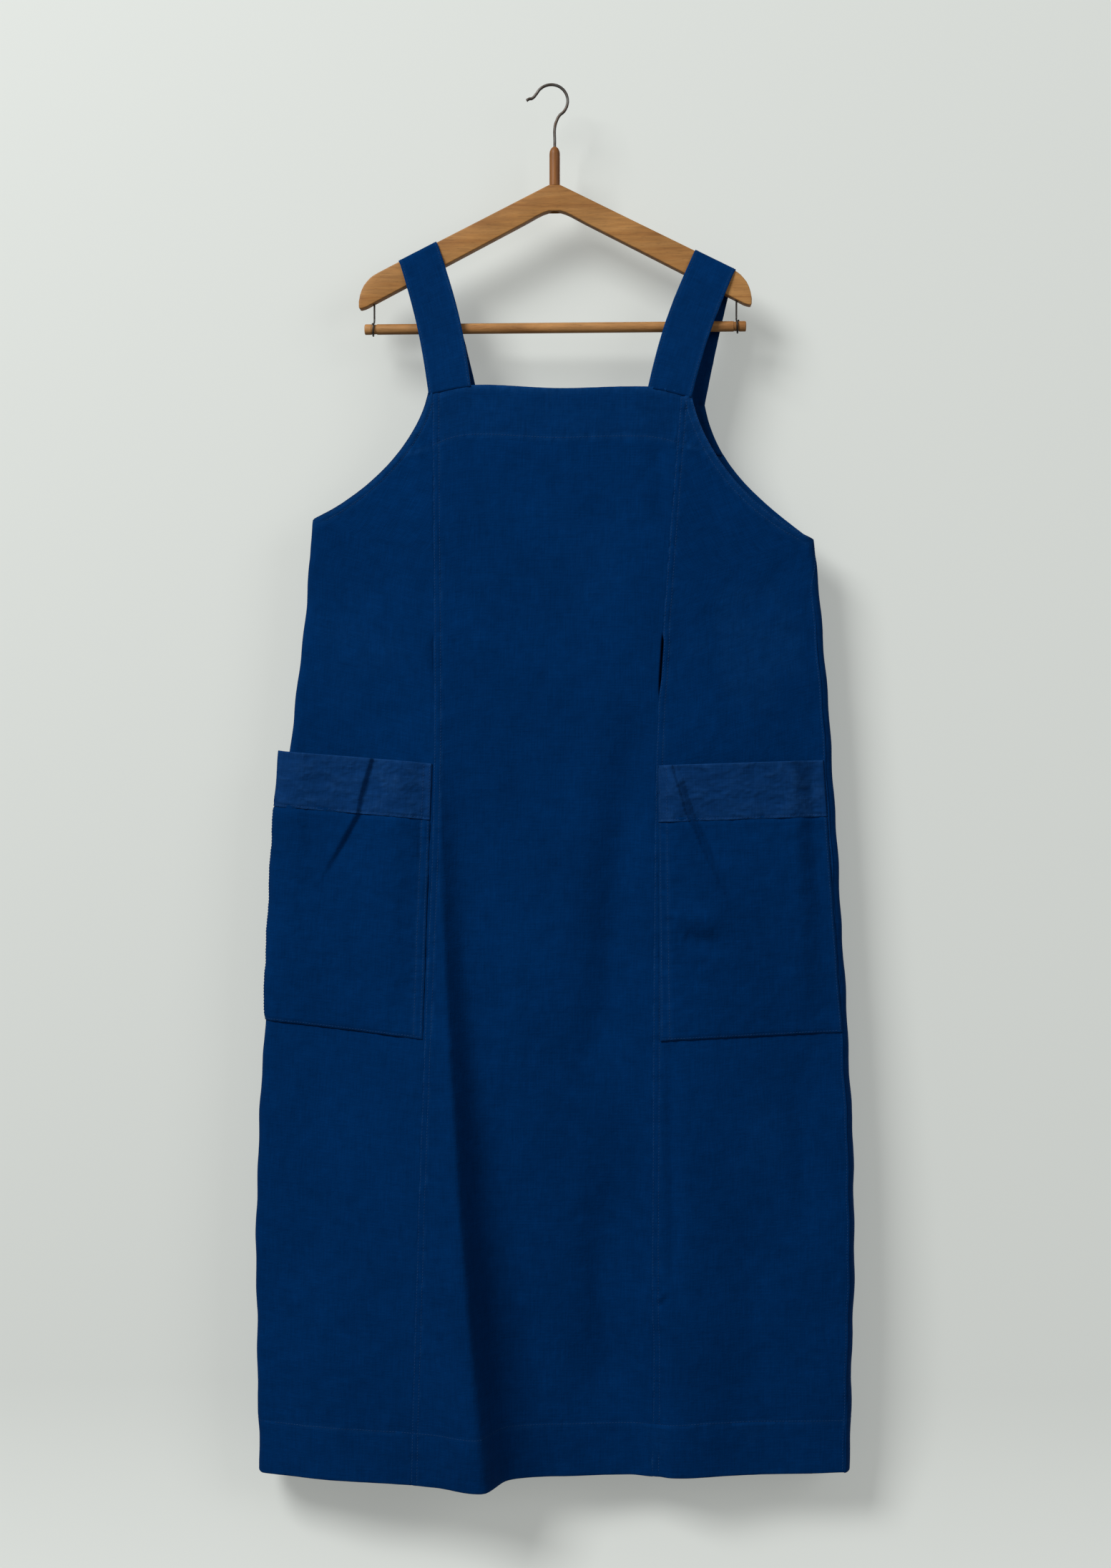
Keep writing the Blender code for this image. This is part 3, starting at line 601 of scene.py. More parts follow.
def makeNeck():
    shape = neckShape
    deselectAll()
    height = shape["shoulder"] - shape["low"]
    bpy.ops.mesh.primitive_cylinder_add(vertices=40, radius=shape["radius"], depth=height,
                                        location=(0, 0, shape["low"] + height / 2))
    neck = bpy.context.object
    bpy.ops.object.transform_apply(location=True, rotation=True, scale=True)
    bpy.ops.object.mode_set(mode="EDIT")
    pick("faces", lambda face: face.normal.z > 0.9)
    steps, radius, rise = 8, shape["radius"], 0.0
    for k in range(1, steps + 1):
        turn = math.pi / 2 * k / steps * 0.94
        nextRadius, nextRise = shape["radius"] * math.cos(turn), shape["dome"] * math.sin(turn)
        bpy.ops.mesh.extrude_region_move(TRANSFORM_OT_translate={"value": (0, 0, nextRise - rise)})
        bpy.ops.transform.resize(value=(nextRadius / radius, nextRadius / radius, 1))
        radius, rise = nextRadius, nextRise
    pick("faces", lambda face: face.normal.z < -0.9)
    bpy.ops.mesh.inset(thickness=0.0006)
    bpy.ops.mesh.extrude_region_move(TRANSFORM_OT_translate={"value": (0, 0, -0.0002)})
    bpy.ops.object.mode_set(mode="OBJECT")
    drill(neck, 0, shape["bore"], -0.06, -0.112)
    bpy.ops.object.shade_smooth_by_angle(angle=math.radians(35))
    finishPiece(neck, "turnedNeck", "hanger_body", neckFinish, "neck_sleeve", slot="neck_wood")


barShape = {"radius": 0.0057, "half": 0.2080, "z": -0.2632, "grooveDepth": 0.0005, "grooveHalf": 0.0032}


def makeBar():
    shape = barShape
    deselectAll()
    bpy.ops.mesh.primitive_cylinder_add(vertices=40, radius=shape["radius"], depth=shape["half"] * 2,
                                        location=(0, 0, shape["z"]), rotation=(0, math.pi / 2, 0))
    bar = bpy.context.object
    bpy.ops.object.transform_apply(location=True, rotation=True, scale=True)
    bpy.ops.object.mode_set(mode="EDIT")
    for side in sides.values():
        for edge in (-1, 1):
            bpy.ops.mesh.select_all(action="SELECT")
            x = side * yokeShape["wireX"] + edge * shape["grooveHalf"]
            bpy.ops.mesh.bisect(plane_co=(x, 0, shape["z"]), plane_no=(1, 0, 0))
    for side in sides.values():
        middle = side * yokeShape["wireX"]
        pick("faces", lambda face: abs(face.calc_center_median().x - middle) < shape["grooveHalf"])
        ratio = 1 - shape["grooveDepth"] / shape["radius"]
        bpy.ops.mesh.inset(thickness=0.0005, use_boundary=True)
        bpy.ops.transform.resize(value=(1, ratio, ratio), center_override=(middle, 0, shape["z"]))
    pick("edges", lambda edge: all(abs(v.co.x) > shape["half"] - 0.0001 for v in edge.verts))
    bpy.ops.mesh.bevel(offset=0.0012, segments=4, affect="EDGES")
    bpy.ops.object.mode_set(mode="OBJECT")
    bpy.ops.object.shade_smooth_by_angle(angle=math.radians(40))
    finishPiece(bar, "trouserBarDowel", "bar", barFinish, "trouser_bar", slot="hanger_wood")


wireShape = {"radius": 0.0010, "eyePitch": 0.0024, "top": -0.2290, "steps": 20}


def makeBarWires():
    shape = wireShape
    groove = barShape["radius"] - barShape["grooveDepth"]
    eye = groove + 0.0003 + shape["radius"] + 0.0004
    drop = barShape["z"] - shape["top"]
    for side, sign in sides.items():
        points = [Vector((0, 0, 0.0010)), Vector((0, 0, drop * 0.3)), Vector((0, 0, drop * 0.6))]
        points.append(Vector((0, 0, drop + eye + 0.0030)))
        for k in range(shape["steps"] + 1):
            share = k / shape["steps"]
            turn = math.radians(78 - 335 * share)
            across = sign * (shape["eyePitch"] * share - shape["eyePitch"] / 2 + 0.0012)
            points.append(Vector((across, -eye * math.cos(turn), drop + eye * math.sin(turn))))
        placed = [point + Vector((sign * yokeShape["wireX"], 0, shape["top"])) for point in points]
        made = bentWire("barWire", placed, shape["radius"], around=3, between=4)
        name = "barWire" + side.capitalize()
        finishPiece(made, name, "bar_wires", wireSteel, "bar_wire_" + side, slot="wire_steel")


makeHook()
makeYoke()
makeNeck()
makeBar()
makeBarWires()
for nodeName in ("hook_washer", "hook_nut"):
    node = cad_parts[nodeName]
    node.data.materials.clear()
    node.data.materials.append(hookSteel)
print("hanger made")


cloth = 0.0010
layer = 0.0009  # what one thickness of cloth shows
hemZ = -1.5070
seamAllowance = 0.0080
sideRound = 0.0085
turnGirth = 0.0185  # round the side, from its outermost line to where the face lies flat

armholes = {
    ("front", "left"): ((-0.1367, -0.3360), (-0.1480, -0.3895), (-0.2000, -0.4440), (-0.2643, -0.4717)),
    ("front", "right"): ((0.1486, -0.3415), (0.1570, -0.3870), (0.1950, -0.4560), (0.2800, -0.4955)),
    ("back", "left"): ((-0.1280, -0.3460), (-0.1400, -0.4000), (-0.1950, -0.4450), (-0.2643, -0.4717)),
    ("back", "right"): ((0.1634, -0.3455), (0.1740, -0.4053), (0.2115, -0.4437), (0.2800, -0.4955)),
}
# seams as (z, x)
sideSeams = {
    "left": (
        (-0.4717, -0.2643), (-0.6000, -0.2750), (-0.8500, -0.3035), (-1.2000, -0.3255), (-1.5070, -0.3225),
    ),
    "right": ((-0.4955, 0.2800), (-0.6000, 0.2905), (-0.8500, 0.3070), (-1.2000, 0.3235), (-1.5070, 0.3180)),
}
panelSeams = {
    ("front", "left"): ((-0.3300, -0.1325), (-0.7600, -0.1307), (-1.0500, -0.1392), (-1.5070, -0.1517)),
    ("front", "right"): ((-0.3300, 0.1375), (-0.6100, 0.1165), (-0.7800, 0.1090), (-1.5070, 0.1040)),
    ("back", "left"): ((-0.3300, -0.1180), (-0.7600, -0.1180), (-1.5070, -0.1400)),
    ("back", "right"): ((-0.3300, 0.1430), (-0.7600, 0.1280), (-1.5070, 0.1320)),
}
# top edges as (x, z)
topEdges = {
    "front": (
        (-0.1367, -0.3360), (-0.0880, -0.3280), (0.0000, -0.3320), (0.1010, -0.3315), (0.1486, -0.3415),
    ),
    "back": ((-0.1280, -0.3460), (0.0150, -0.3480), (0.1634, -0.3455)),
}
# how far each bib hangs from the middle plane, as (x, depth)
bibDepth = ((-0.2700, 0.0090), (-0.1500, 0.0175), (0.0000, 0.0180), (0.1500, 0.0175), (0.2800, 0.0075))
foldTopZ = -0.6800
# the big fold in the front: its crest as (z, x), how far it stands out, and how wide its steep side is
bigFold = {
    "crest": ((-0.7000, -0.1240), (-0.9000, -0.1190), (-1.1770, -0.1010), (-1.5070, -0.0720)),
    "lift": ((-1.5070, 0.0044), (-1.2000, 0.0074), (-0.9500, 0.0070), (-0.7600, 0.0030), (-0.6300, 0.0)),
    "steep": ((-1.5070, 0.0145), (-1.1800, 0.0135), (-0.8000, 0.0110)),
}
# soft lines in each face as (x, z) from end to end: width, and rise above or below the cloth
softLines = {
    "front": (
        {"line": ((0.1120, -0.3900), (0.1150, -0.4950)), "width": 0.0070, "rise": -0.0016},
        {"line": ((0.0880, -0.6500), (0.0590, -0.9700), (0.0340, -1.1200)), "width": 0.0250, "rise": -0.0095},
        {"line": ((0.0620, -1.1600), (0.0480, -1.4600)), "width": 0.0230, "rise": -0.0050},
        {"line": ((0.0300, -1.1900), (0.0720, -1.4200)), "width": 0.0130, "rise": -0.0030},
        {"line": ((0.1260, -1.0300), (0.1290, -1.3200)), "width": 0.0080, "rise": -0.0040},
        {"line": ((0.2620, -1.0400), (0.2740, -1.2600)), "width": 0.0140, "rise": -0.0036},
        {"line": ((0.2050, -1.2200), (0.2200, -1.4300)), "width": 0.0170, "rise": -0.0030},
        {"line": ((0.1080, -1.3300), (0.1140, -1.5100)), "width": 0.0100, "rise": -0.0036},
        {"line": ((0.1220, -1.3000), (0.1120, -1.3170)), "width": 0.0030, "rise": 0.0016},
        {"line": ((0.1260, -1.3080), (0.1120, -1.3240)), "width": 0.0026, "rise": -0.0014},
        {"line": ((-0.1250, -0.3460), (-0.1000, -0.4300)), "width": 0.0100, "rise": -0.0007},
        {"line": ((0.1350, -0.3520), (0.0900, -0.4500)), "width": 0.0120, "rise": -0.0008},
        {"line": ((-0.2500, -0.4900), (-0.1900, -0.5700)), "width": 0.0120, "rise": -0.0013},
        {"line": ((0.2650, -0.5100), (0.2000, -0.5900)), "width": 0.0120, "rise": -0.0013},
        {"line": ((0.2050, -1.1500), (0.2200, -1.5070)), "width": 0.0300, "rise": -0.0014},
        {"line": ((-0.2300, -1.1200), (-0.2400, -1.5070)), "width": 0.0300, "rise": 0.0020},
    ),
    "back": (
        {"line": ((0.0000, -0.4200), (0.0300, -0.9000)), "width": 0.0200, "rise": -0.0026},
        {"line": ((-0.2000, -0.5200), (-0.1400, -0.8500)), "width": 0.0180, "rise": -0.0024},
        {"line": ((0.2100, -0.5500), (0.1700, -0.9500)), "width": 0.0180, "rise": -0.0026},
        {"line": ((-0.0600, -1.0000), (-0.0850, -1.4900)), "width": 0.0240, "rise": -0.0030},
    ),
}


def seamAt(side, z):
    # a side seam's outline, which wavers a little where the sewing draws the cloth up
    phase = {"left": 0.0, "right": 1.9}[side]
    waver = 0.0005 * np.sin(97.0 * z + phase) + 0.0004 * np.sin(41.0 * z + 2.3 * phase)
    return alongPoints(sideSeams[side], z) + waver * ease(-0.50, -0.53, z)


def depthOf(face, x, z, widen=0.0):
    # how far a face hangs from the middle plane
    left = seamAt("left", z) - widen
    right = seamAt("right", z) + widen
    if face == "front":
        crest = alongPoints(bigFold["crest"], z)
        seam = alongPoints(panelSeams["front", "right"], z)
        places = (left, left + 0.090, crest - 0.050, crest, crest + 0.019, crest + 0.038, crest + 0.080,
                  seam - 0.022, seam + 0.018, seam + 0.090, right)
        depths = (0.024, 0.046, 0.066, 0.080, 0.043, 0.032, 0.025, 0.019, 0.038, 0.031, 0.024)
    else:
        places = (-0.320, -0.200, -0.090, 0.020, 0.120, 0.220, 0.320)
        depths = (0.020, 0.034, 0.022, 0.036, 0.022, 0.034, 0.020)
    growth = ease(foldTopZ, hemZ, z)
    depth = mix(alongPoints(bibDepth, x), smoothCurve(places, depths, x), growth)
    if face == "front":
        away = x - crest
        lift = alongPoints(bigFold["lift"], z)
        steep = alongPoints(bigFold["steep"], z)
        past = np.maximum(away, 0)
        drop = (1 - 1.9 * (1 - np.exp(-past / steep))) * np.exp(-past / 0.110)
        depth = depth + lift * np.where(away < 0, np.exp(away / 0.050), drop)
    rounding = np.ones(np.shape(x))
    for reach in (x - left, right - x):
        share = np.clip(reach / sideRound, 0, 1)
        rounding = rounding * np.sqrt(1 - (1 - share) ** 2)
    return np.maximum(depth * rounding, 0.00015)


def hemAt(x):
    # the hem's height, a little higher to the right
    return alongPoints(((-0.3400, hemZ), (0.0400, hemZ), (0.1700, hemZ + 0.0055), (0.3400, hemZ + 0.0085)), x)


def softRelief(face, x, z):
    # drape: broad swells that grow towards the hem, and the soft lines above
    seed = 3.7 if face == "front" else 11.2
    grow = ease(-0.35, -1.45, z)
    relief = mix(0.0008, 0.0030, grow) * bumps(x, z, 0.085, seed, tall=4.0)
    relief += mix(0.0006, 0.0012, grow) * bumps(x, z, 0.034, seed + 5, tall=3.0)
    for line in softLines[face]:
        away, along = distanceTo(line["line"], x, z)
        length = sum(math.dist(a, b) for a, b in zip(line["line"][:-1], line["line"][1:]))
        fade = ease(0.0, 0.25 * length, along) * (1 - ease(0.75 * length, length, along))
        if line["line"][-1][1] <= hemZ:
            fade = ease(0.0, 0.25 * length, along)
        relief += line["rise"] * fade * np.exp(-((away / line["width"]) ** 2))
    return relief


def fineRelief(x, z, seed, amount=1.0):
    # the crumple that washing leaves
    made = 0.00042 * bumps(x, z, 0.016, seed) + 0.00026 * bumps(x, z, 0.0075, seed + 3)
    made += 0.00030 * bumps(x, z, 0.021, seed + 8, basis="VORONOI_F1") - 0.00012
    return made * amount


rippleLength, rippleReach = 0.0052, 0.011  # of a pucker, along its sewing and away from it


def pucker(away, along, seed, reach=0.0075, height=0.00075):
    # little ridges square to a line of sewing, and the line's own dip
    spots = zip(np.ravel(along), np.ravel(away))
    ripples = np.array([noise.noise((a / rippleLength, seed, b / rippleReach)) for a, b in spots])
    ripples = ripples.reshape(np.shape(away))
    return height * ripples * np.exp(-((away / reach) ** 2)) - 0.00045 * np.exp(-((away / 0.0016) ** 2))


def facePoints(face, x, z, lift, widen=0.0):
    # points of a face lifted along its own normal
    sign = -1 if face == "front" else 1
    step = 0.0006
    flat = np.stack([depthOf(face, x - step, z, widen) - depthOf(face, x + step, z, widen),
                     np.full(np.shape(x), 2 * step),
                     depthOf(face, x, z - step, widen) - depthOf(face, x, z + step, widen)], axis=-1)
    flat /= np.linalg.norm(flat, axis=-1, keepdims=True)
    points = np.stack([x, depthOf(face, x, z, widen), z], axis=-1) + flat * np.asarray(lift)[..., None]
    points[..., 1] *= sign
    return points


def layGrid(name, points, wearAndLight, towards, thickness, finish, nodes, slot):
    # a sheet of cloth from a grid of points on its outer surface, with its thickness behind
    rows, columns = points.shape[:2]
    index = np.arange(rows * columns).reshape(rows, columns)
    quads = np.stack([index[:-1, :-1], index[:-1, 1:], index[1:, 1:], index[1:, :-1]], axis=-1).reshape(-1, 4)
    flat = points.reshape(-1, 3)
    normals = np.cross(flat[quads[:, 2]] - flat[quads[:, 0]], flat[quads[:, 3]] - flat[quads[:, 1]])
    middles = flat[quads].mean(1)
    if (normals * (towards(middles))).sum() < 0:
        quads = quads[:, ::-1]
    data = bpy.data.meshes.new(name)
    data.from_pydata(flat.tolist(), [], quads.tolist())
    across = np.linalg.norm(np.diff(points, axis=1), axis=2).cumsum(1)
    across = np.concatenate([np.zeros((rows, 1)), across], axis=1)
    across -= across[:, columns // 2][:, None]
    down = np.linalg.norm(np.diff(points, axis=0), axis=2).cumsum(0)
    down = np.concatenate([np.zeros((1, columns)), down], axis=0)
    down = np.broadcast_to(down.mean(1)[:, None], down.shape)
    spots = np.stack([across, down], axis=-1).reshape(-1, 2)
    layerMap = data.uv_layers.new(name="cloth")
    corners = np.empty(len(data.loops), np.int32)
    data.loops.foreach_get("vertex_index", corners)
    layerMap.data.foreach_set("uv", spots[corners].ravel())
    # real rubbing, and the painted highlight along the sides' outer line
    wearAndLightLayer = data.attributes.new("wearAndLight", "FLOAT", "POINT")
    wearAndLightValues = np.clip(np.broadcast_to(wearAndLight, (rows, columns)), 0, 1).astype(np.float32)
    wearAndLightLayer.data.foreach_set("value", wearAndLightValues.ravel())
    data.shade_smooth()
    obj = bpy.data.objects.new(name, data)
    bpy.context.scene.collection.objects.link(obj)
    thick = obj.modifiers.new("thickness", "SOLIDIFY")
    thick.thickness = thickness
    thick.offset = -1.0
    applyModifiers(obj)
    finishPiece(obj, name, "smock", finish, *nodes, slot=slot)
    return obj


def outFrom(centre):
    return lambda middles: middles - np.array(centre)


def faceOut(face):
    return lambda middles: np.array((0.0, -1.0 if face == "front" else 1.0, 0.0))


# how far inside an edge the sewing runs: felled seams and armholes are sewn twice
seamSewing = (0.0016, 0.0072)
armholeSewing = (0.0016, 0.0075)
pocketSewing = (0.0020, 0.0085)
hemSewing = 0.0022  # of a pocket's foot, inner edge and band
hemDepth = 0.0555
facingDepth = 0.0535
facingShare = 0.345  # how far down the armhole the facing reaches
stitchShape = {
    "pitch": 0.0033, "length": 0.0026, "radius": 0.00028, "rise": 0.00022, "sink": 0.00030, "sides": 5,
}
stitchParts = []  # the threads' corners, a set of rings for each stitch


def gridNormals(points, towards):
    normals = np.cross(np.gradient(points, axis=0), np.gradient(points, axis=1))
    normals /= np.maximum(np.linalg.norm(normals, axis=-1, keepdims=True), 1e-12)
    return normals if (normals * towards(points)).sum() > 0 else -normals


def sew(points, normals, field, across=False):
    # lays stitches where the field is zero: one crossing to each row of the grid, or to each column
    if across:
        points, normals, field = points.transpose(1, 0, 2), normals.transpose(1, 0, 2), field.T
    spots, ups = [], []
    for row in range(len(points)):
        turns = np.nonzero(field[row, :-1] * field[row, 1:] < 0)[0]
        if len(turns):
            k = turns[0]
            share = field[row, k] / (field[row, k] - field[row, k + 1])
            spots.append(mix(points[row, k], points[row, k + 1], share))
            ups.append(mix(normals[row, k], normals[row, k + 1], share))
    spots, ups = np.array(spots), np.array(ups)
    gone = np.concatenate([[0], np.linalg.norm(np.diff(spots, axis=0), axis=1).cumsum()])
    starts = np.arange(0.002, gone[-1] - 0.005, stitchShape["pitch"])
    rings = []
    for part, rise in ((0.0, -stitchShape["sink"]), (0.5, stitchShape["rise"]), (1.0, -stitchShape["sink"])):
        at = starts + part * stitchShape["length"]
        place = np.stack([np.interp(at, gone, spots[:, axis]) for axis in range(3)], axis=-1)
        up = np.stack([np.interp(at, gone, ups[:, axis]) for axis in range(3)], axis=-1)
        up /= np.linalg.norm(up, axis=-1, keepdims=True)
        rings.append((place + up * rise, up))
    forward = rings[2][0] - rings[0][0]
    forward /= np.linalg.norm(forward, axis=-1, keepdims=True)
    corners = []
    for place, up in rings:
        side = np.cross(forward, up)
        for k in range(stitchShape["sides"]):
            turn = 2 * math.pi * k / stitchShape["sides"]
            corners.append(place + stitchShape["radius"] * (up * math.cos(turn) + side * math.sin(turn)))
    stitchParts.append(np.stack(corners, axis=1))


def makeStitching():
    # each stitch is a short tube of three rings, closed at both ends
    corners = np.concatenate(stitchParts)
    n = stitchShape["sides"]
    faces = []
    for ring in (0, n):
        for k in range(n):
            faces.append((ring + k, ring + (k + 1) % n, ring + n + (k + 1) % n, ring + n + k))
    caps = [tuple(reversed(range(n))), tuple(range(2 * n, 3 * n))]
    starts = range(0, len(corners) * 3 * n, 3 * n)
    built = [tuple(start + k for k in face) for start in starts for face in faces + caps]
    data = bpy.data.meshes.new("stitching")
    data.from_pydata(corners.reshape(-1, 3).tolist(), [], built)
    data.shade_smooth()
    obj = bpy.data.objects.new("stitching", data)
    bpy.context.scene.collection.objects.link(obj)
    deselectAll()
    obj.select_set(True)
    bpy.context.view_layer.objects.active = obj
    bpy.ops.object.mode_set(mode="EDIT")
    bpy.ops.mesh.select_all(action="SELECT")
    bpy.ops.mesh.normals_make_consistent(inside=False)
    bpy.ops.object.mode_set(mode="OBJECT")
    finishPiece(obj, "stitching", "smock", thread)


def facingLine(face):
    # the facing's sewing, from armhole to armhole
    spots = []
    left = cubicCurve(armholes[face, "left"], facingShare)
    right = cubicCurve(armholes[face, "right"], facingShare)
    for share in np.linspace(0, 1, 30):
        x = mix(left[0], right[0], share)
        drop = alongPoints(topEdges[face], x) - facingDepth
        low = 0.012 * (1 - ease(0.0, 0.16, share)) + 0.004 * ease(0.88, 1.0, share)
        spots.append((float(x), float(drop - low)))
    return spots


def facingHeight(face, x):
    line = facingLine(face)
    return np.interp(x, [spot[0] for spot in line], [spot[1] for spot in line])


meshStep = 0.0031


def hemRows(face, x, bottom, liftAt):
    # the cloth turned up inside: round the fold and up to the hem's sewing
    rows, wearAndLightRows = [], []
    for angle in np.linspace(30, 150, 5):
        turn = math.radians(angle)
        lift = cloth - 0.0010 * (1 - math.cos(turn))
        rows.append(facePoints(face, x, bottom - 0.0010 * math.sin(turn) + 0.0003, lift + liftAt))
        wearAndLightRows.append(0.55)
    for up in np.linspace(0.0, 0.0560, 14):
        rows.append(facePoints(face, x, bottom + up, -0.0010 + liftAt * (1 - up / 0.08)))
        wearAndLightRows.append(0.12)
    return np.array(rows), np.array(wearAndLightRows)[:, None] * np.ones(len(x))


# where washing has left the cloth paler: x, z, size, amount
palePatches = (
    (0.2150, -0.6100, 0.070, 0.26), (-0.2200, -0.6100, 0.060, 0.12), (0.0400, -0.5200, 0.060, 0.08),
    (0.2300, -1.1600, 0.070, 0.14), (-0.2500, -1.4200, 0.080, 0.10),
)


def sewnRelief(face, x, z, seed):
    # what the facing, hem and their sewing do to the cloth, with how pale it is there: rubbed, washed paler,
    # and darker towards the hem
    facing, facingAlong = distanceTo(facingLine(face), x, z)
    bottom = hemAt(x)
    hemAway = np.abs(z - (bottom + hemDepth + 0.0010 * np.sin(x * 40)))
    relief = pucker(facing, facingAlong, seed, 0.0080, 0.0012) + pucker(hemAway, x, seed + 1, 0.0075, 0.0009)
    top = alongPoints(topEdges[face], x) - z
    relief += pucker(np.maximum(top - 0.0030, 0), x, seed + 2, 0.010, 0.0007)
    patchy = 0.5 + 0.5 * bumps(x, z, 0.012, seed + 4)
    wearAndLight = 0.50 * np.exp(-((facing / 0.0028) ** 2)) + 0.50 * np.exp(-((hemAway / 0.0030) ** 2))
    wearAndLight += 0.70 * np.exp(-((top / 0.0050) ** 2)) + 0.45 * np.exp(-(((z - bottom) / 0.0028) ** 2))
    wearAndLight += 0.16 * (top < 0.05) + 0.10 * (z < bottom + 0.055)
    for patchX, patchZ, size, amount in palePatches:
        away = np.hypot(x - patchX, (z - patchZ) * 0.8) / size
        wearAndLight += amount * ease(1.0, 0.2, away + 0.5 * bumps(x, z, 0.030, seed + 7))
    # the cloth is made darker towards the hem
    return relief, wearAndLight * mix(0.5, 1.2, patchy) - 0.22 * ease(-0.95, -1.50, z)


def broken(along, size, seed):
    # a share from 0 to 1 that comes and goes along a line of sewing
    line = np.ravel(along)[:: np.shape(along)[1]]
    values = np.array([0.5 + 1.3 * noise.noise((place / size, seed, 0)) for place in line])
    return np.clip(values, 0, 1)[:, None] + 0 * along


def felled(away, along, seed):
    # the top layer of a felled seam: a low ridge with sewing along both its sides
    proud = broken(along, 0.026, seed + 3)
    wander = 0.0016 * (broken(along, 0.060, seed + 4) - 0.5)
    ridge = 0.00085 * mix(0.25, 1.0, proud) * ease(-0.0002, 0.0008, away)
    ridge *= 1 - ease(0.0060, 0.0100, away + wander)
    sewing = pucker(np.abs(away - seamSewing[0]), along, seed, 0.005, 0.0005)
    sewing += pucker(np.abs(away - seamSewing[1] + wander), along, seed + 1, 0.007, 0.0006)
    wearAndLight = 0.75 * broken(along, 0.009, seed + 5) * np.exp(-(((away - 0.0006) / 0.0016) ** 2))
    wearAndLight += 0.50 * broken(along, 0.012, seed + 6) * np.exp(-(((away - 0.0078 + wander) / 0.0018) ** 2))
    return ridge + sewing, wearAndLight


def tucked(past):
    # how far the lower layer of a felled seam drops as it slides under the other
    return -0.0022 * ease(0.0003, 0.0020, past)


def closeAtEnds(width, finely):
    # columns as shares of a width, set closer together near both its ends
    near, step = 14, meshStep / width
    edge = np.linspace(0, finely / width, near + 1)
    middle = np.linspace(finely / width, 1 - finely / width, int((1 - 2 * finely / width) / step) + 1)
    return np.concatenate([edge[:-1], middle, 1 - edge[::-1][1:]])


def makeCentrePanel(face):
    width, height = 0.275, 1.18
    rows = int(height / meshStep)
    share = closeAtEnds(width, 0.0120)[None, :]
    rise = np.linspace(0, 1, rows + 1)[:, None]
    top = alongPoints(topEdges[face], mix(-0.1325, 0.1375, share))
    z = mix(hemAt(mix(-0.1517, 0.1040, share)), top, rise)
    left = alongPoints(panelSeams[face, "left"], z)
    right = alongPoints(panelSeams[face, "right"], z)
    x = mix(left, right + seamAllowance, share)
    seed = 1.3 if face == "front" else 6.1
    sewing, wearAndLight = sewnRelief(face, x, z, seed + 20)
    ridge, ridgeWear = felled(x - left, z, seed + 30)
    opening = slitDip(face, z, x - left, x - right)
    lift = cloth + softRelief(face, x, z) + fineRelief(x, z, seed) + sewing + ridge
    lift += tucked(x - right)
    lift += opening
    points = facePoints(face, x, z, lift)
    normals = gridNormals(points, faceOut(face))
    for inside in seamSewing:
        sew(points, normals, x - left - inside)
    sew(points, normals, z - facingHeight(face, x), across=True)
    sew(points, normals, z - hemAt(x) - hemDepth, across=True)
    turned, turnedWear = hemRows(face, x[0], z[0], lift[0] - cloth)
    points = np.concatenate([turned[::-1], points])
    wearAndLightRows = np.concatenate([turnedWear[::-1], wearAndLight + ridgeWear])
    name = face + "CentrePanel"
    layGrid(name, points, wearAndLightRows, faceOut(face), layer, navy, [face + "_centre_panel"], "smock_cloth")


# narrow slits beside the front seams, where the lapping edge stands off: heights and width
slits = {
    "left": {"top": -0.5960, "low": -0.6640, "width": 0.0010, "dip": 0.0020},
    "right": {"top": -0.5960, "low": -0.6720, "width": 0.0019, "dip": 0.0046},
}


def slitShare(side, z):
    slit = slits[side]
    return ease(slit["low"], slit["low"] + 0.030, z) * (1 - ease(slit["top"] - 0.012, slit["top"], z))


def slitDip(face, z, pastLeft, pastRight):
    # how far the cloth under a lapping edge falls away
    if face == "back":
        return 0 * z
    made = slits["right"]["dip"] * slitShare("right", z) * ease(-0.0014, 0.0006, pastRight)
    return -made + slits["left"]["width"] * slitShare("left", z) * np.exp(-((pastLeft / 0.0040) ** 2))


# how far the wrapping panel's edge passes the side's outermost line
sideShift = {"left": 0.0120, "right": 0.0165}


def girthOf(reach):
    # from the distance inside the side line to the way round the cloth
    reach = np.maximum(reach, 0)
    bent = turnGirth * np.arccos(np.clip(1 - reach / sideRound, -1, 1)) / (math.pi / 2)
    return np.where(reach > sideRound, turnGirth + reach - sideRound, bent)


def reachOf(girth):
    girth = np.abs(girth)
    bent = sideRound * (1 - np.cos(np.minimum(girth / turnGirth, 1) * math.pi / 2))
    return np.where(girth > turnGirth, girth - turnGirth + sideRound, bent)


